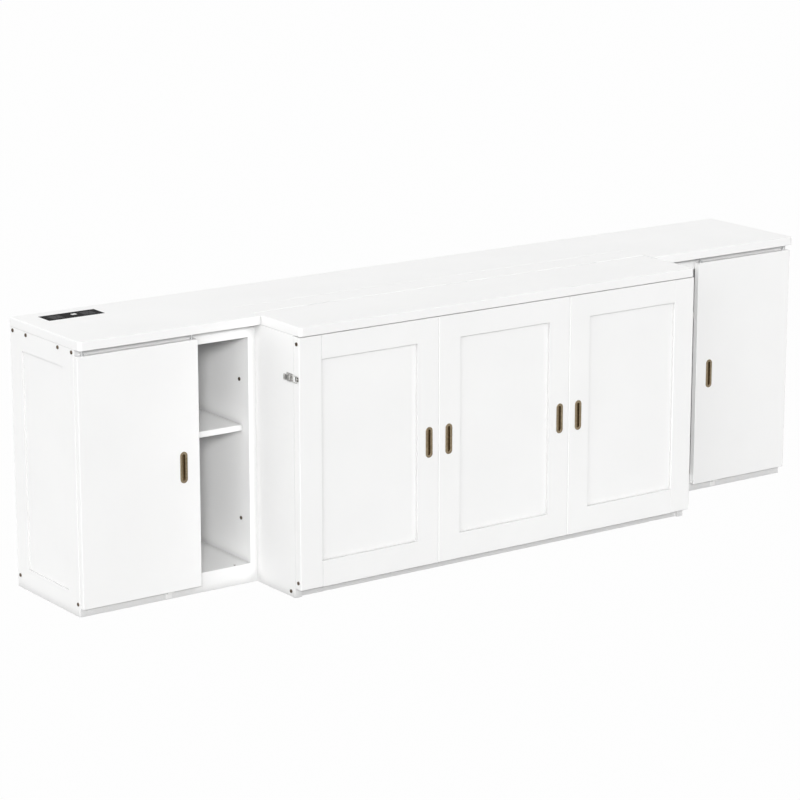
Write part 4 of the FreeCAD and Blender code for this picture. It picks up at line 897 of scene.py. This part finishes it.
@dataclass
class Finishes:
    """Every finish of the object by the record's material slot, and of the nodes that need their own."""

    slots: dict[str, bpy.types.Material] = field(default_factory=dict)
    special: dict[str, bpy.types.Material] = field(default_factory=dict)
    cup: bpy.types.Material | None = None
    bearer_thick: float = 0.026
    upright_pitch: float = 0.25
    paint_light: Color = (0.925, 0.925, 0.921)
    paint_shade: Color = (0.905, 0.905, 0.901)

    def make(self) -> None:
        """Make the materials."""
        cast = {"brush": Grain.ALONG_Z, "brush_scale": 700.0, "brush_height": 0.00005, "patch_scale": 160.0}
        finishes = {
            "white_paint": Paint("white_satin_paint", self.paint_light, self.paint_shade),
            "slat_wood": Pine("pine_along_x", Grain.ALONG_X, SLAT_PITCH, AXIS_Z),
            "antique_brass": Metal("antique_brass", (0.30, 0.24, 0.155), (0.20, 0.155, 0.095), 0.34, 0.5,
                                   metallic=0.85, **cast),
            "dark_bolts": Metal("dark_bronze_bolts", (0.17, 0.125, 0.085), (0.075, 0.052, 0.034), 0.35, 0.5,
                                metallic=0.8),
            "hinge_steel": Metal("zinc_steel", (0.62, 0.62, 0.62), (0.46, 0.47, 0.48), 0.28, 0.46),
            "chrome": Metal("bright_chrome", (0.82, 0.815, 0.80), (0.60, 0.595, 0.58), 0.2, 0.32,
                            Grain.ALONG_Y, metallic=0.85),
            "track_aluminium": Metal("track_aluminium", (0.75, 0.75, 0.76), (0.62, 0.62, 0.64), 0.3, 0.45),
            "black_plastic": Plastic("black_plastic", (0.009, 0.009, 0.009), (0.005, 0.005, 0.005),
                                     0.5, 0.66, shine=0.02),
            "usb_plastic": Plastic("white_plastic", (0.86, 0.86, 0.85), (0.80, 0.80, 0.79), 0.22, 0.32),
            "roller_plastic": Plastic("roller_plastic", (0.11, 0.11, 0.115), (0.07, 0.07, 0.075),
                                      0.4, 0.55),
        }
        self.slots = {slot: finish.material() for slot, finish in finishes.items()}
        self.cup = Metal("brass_cup", (0.17, 0.115, 0.055), (0.08, 0.052, 0.024), 0.42, 0.6,
                         metallic=0.8, **cast).material()
        upright = Pine("pine_along_z", Grain.ALONG_Z, self.upright_pitch, AXIS_X).material()
        low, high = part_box("middle_deck_frame")
        bar = high[1] - low[1]
        framed = Pine("pine_deck_frame", Grain.ALONG_Z, self.upright_pitch, AXIS_X, run_axis=AXIS_Z,
                      run_span=(low[2] + bar, high[2] - bar)).material()
        low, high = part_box("rear_deck_bearers")
        bearers = Pine("pine_along_y", Grain.ALONG_Y, self.upright_pitch, AXIS_X, run_axis=AXIS_Y,
                       run_span=(low[1] + self.bearer_thick, high[1] + self.bearer_thick)).material()
        # The doors get the same paint without the painted corner shade
        unshaded_paint = Paint("white_door_paint", self.paint_light, self.paint_shade, painted_corner_shade=1.0,
                      painted_border_shade=1.0).material()
        self.special = {
            "left_door": unshaded_paint,
            "right_door": unshaded_paint,
            "middle_deck_frame": framed,
            "front_deck_frame": framed,
            "support_legs": upright,
            "rear_deck_bearers": bearers,
            "rear_deck_slats": Pine("pine_rear_slats", Grain.ALONG_X, REAR_SLAT_PITCH, AXIS_Y).material(),
            "latch_strikes": Metal("dark_nickel", (0.20, 0.18, 0.14), (0.11, 0.10, 0.08), 0.14, 0.28,
                                   Grain.ALONG_Z).material(),
            "power_sockets": Plastic("socket_black", (0.020, 0.020, 0.021), (0.012, 0.012, 0.013),
                                     0.4, 0.55, shine=0.04).material(),
        }

    def dress(self, frame: dict) -> None:
        """Give every node its finish.
        """
        slot_of = {row["node"]: row["material_slot"] for row in frame["record"]["subparts"]}
        for name, node in frame["nodes"].items():
            material = self.special.get(name) or self.slots[slot_of[name]]
            node.data.materials.clear()
            node.data.materials.append(material)
            log.info("%s: %s", name, material.name)


def main() -> None:
    """Load the frame, dress it, add the pieces and set the stage."""
    logging.basicConfig(level=logging.INFO)
    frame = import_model()
    Stage().build()
    finishes = Finishes()
    finishes.make()
    finishes.dress(frame)
    made = FlushPulls().build([finishes.slots["antique_brass"], finishes.cup])
    made += Fasteners().build(DeckHardware().rows(), finishes.slots, crossed=True)
    latches = LatchHardware()
    rivets = Fasteners(radius=latches.rivet_radius, height=latches.rivet_height)
    made += rivets.build(latches.rows(), finishes.slots, crossed=False)
    for piece in made:
        log.info("%s: %d faces", piece.name, len(piece.data.polygons))


if __name__ == "__main__":
    main()
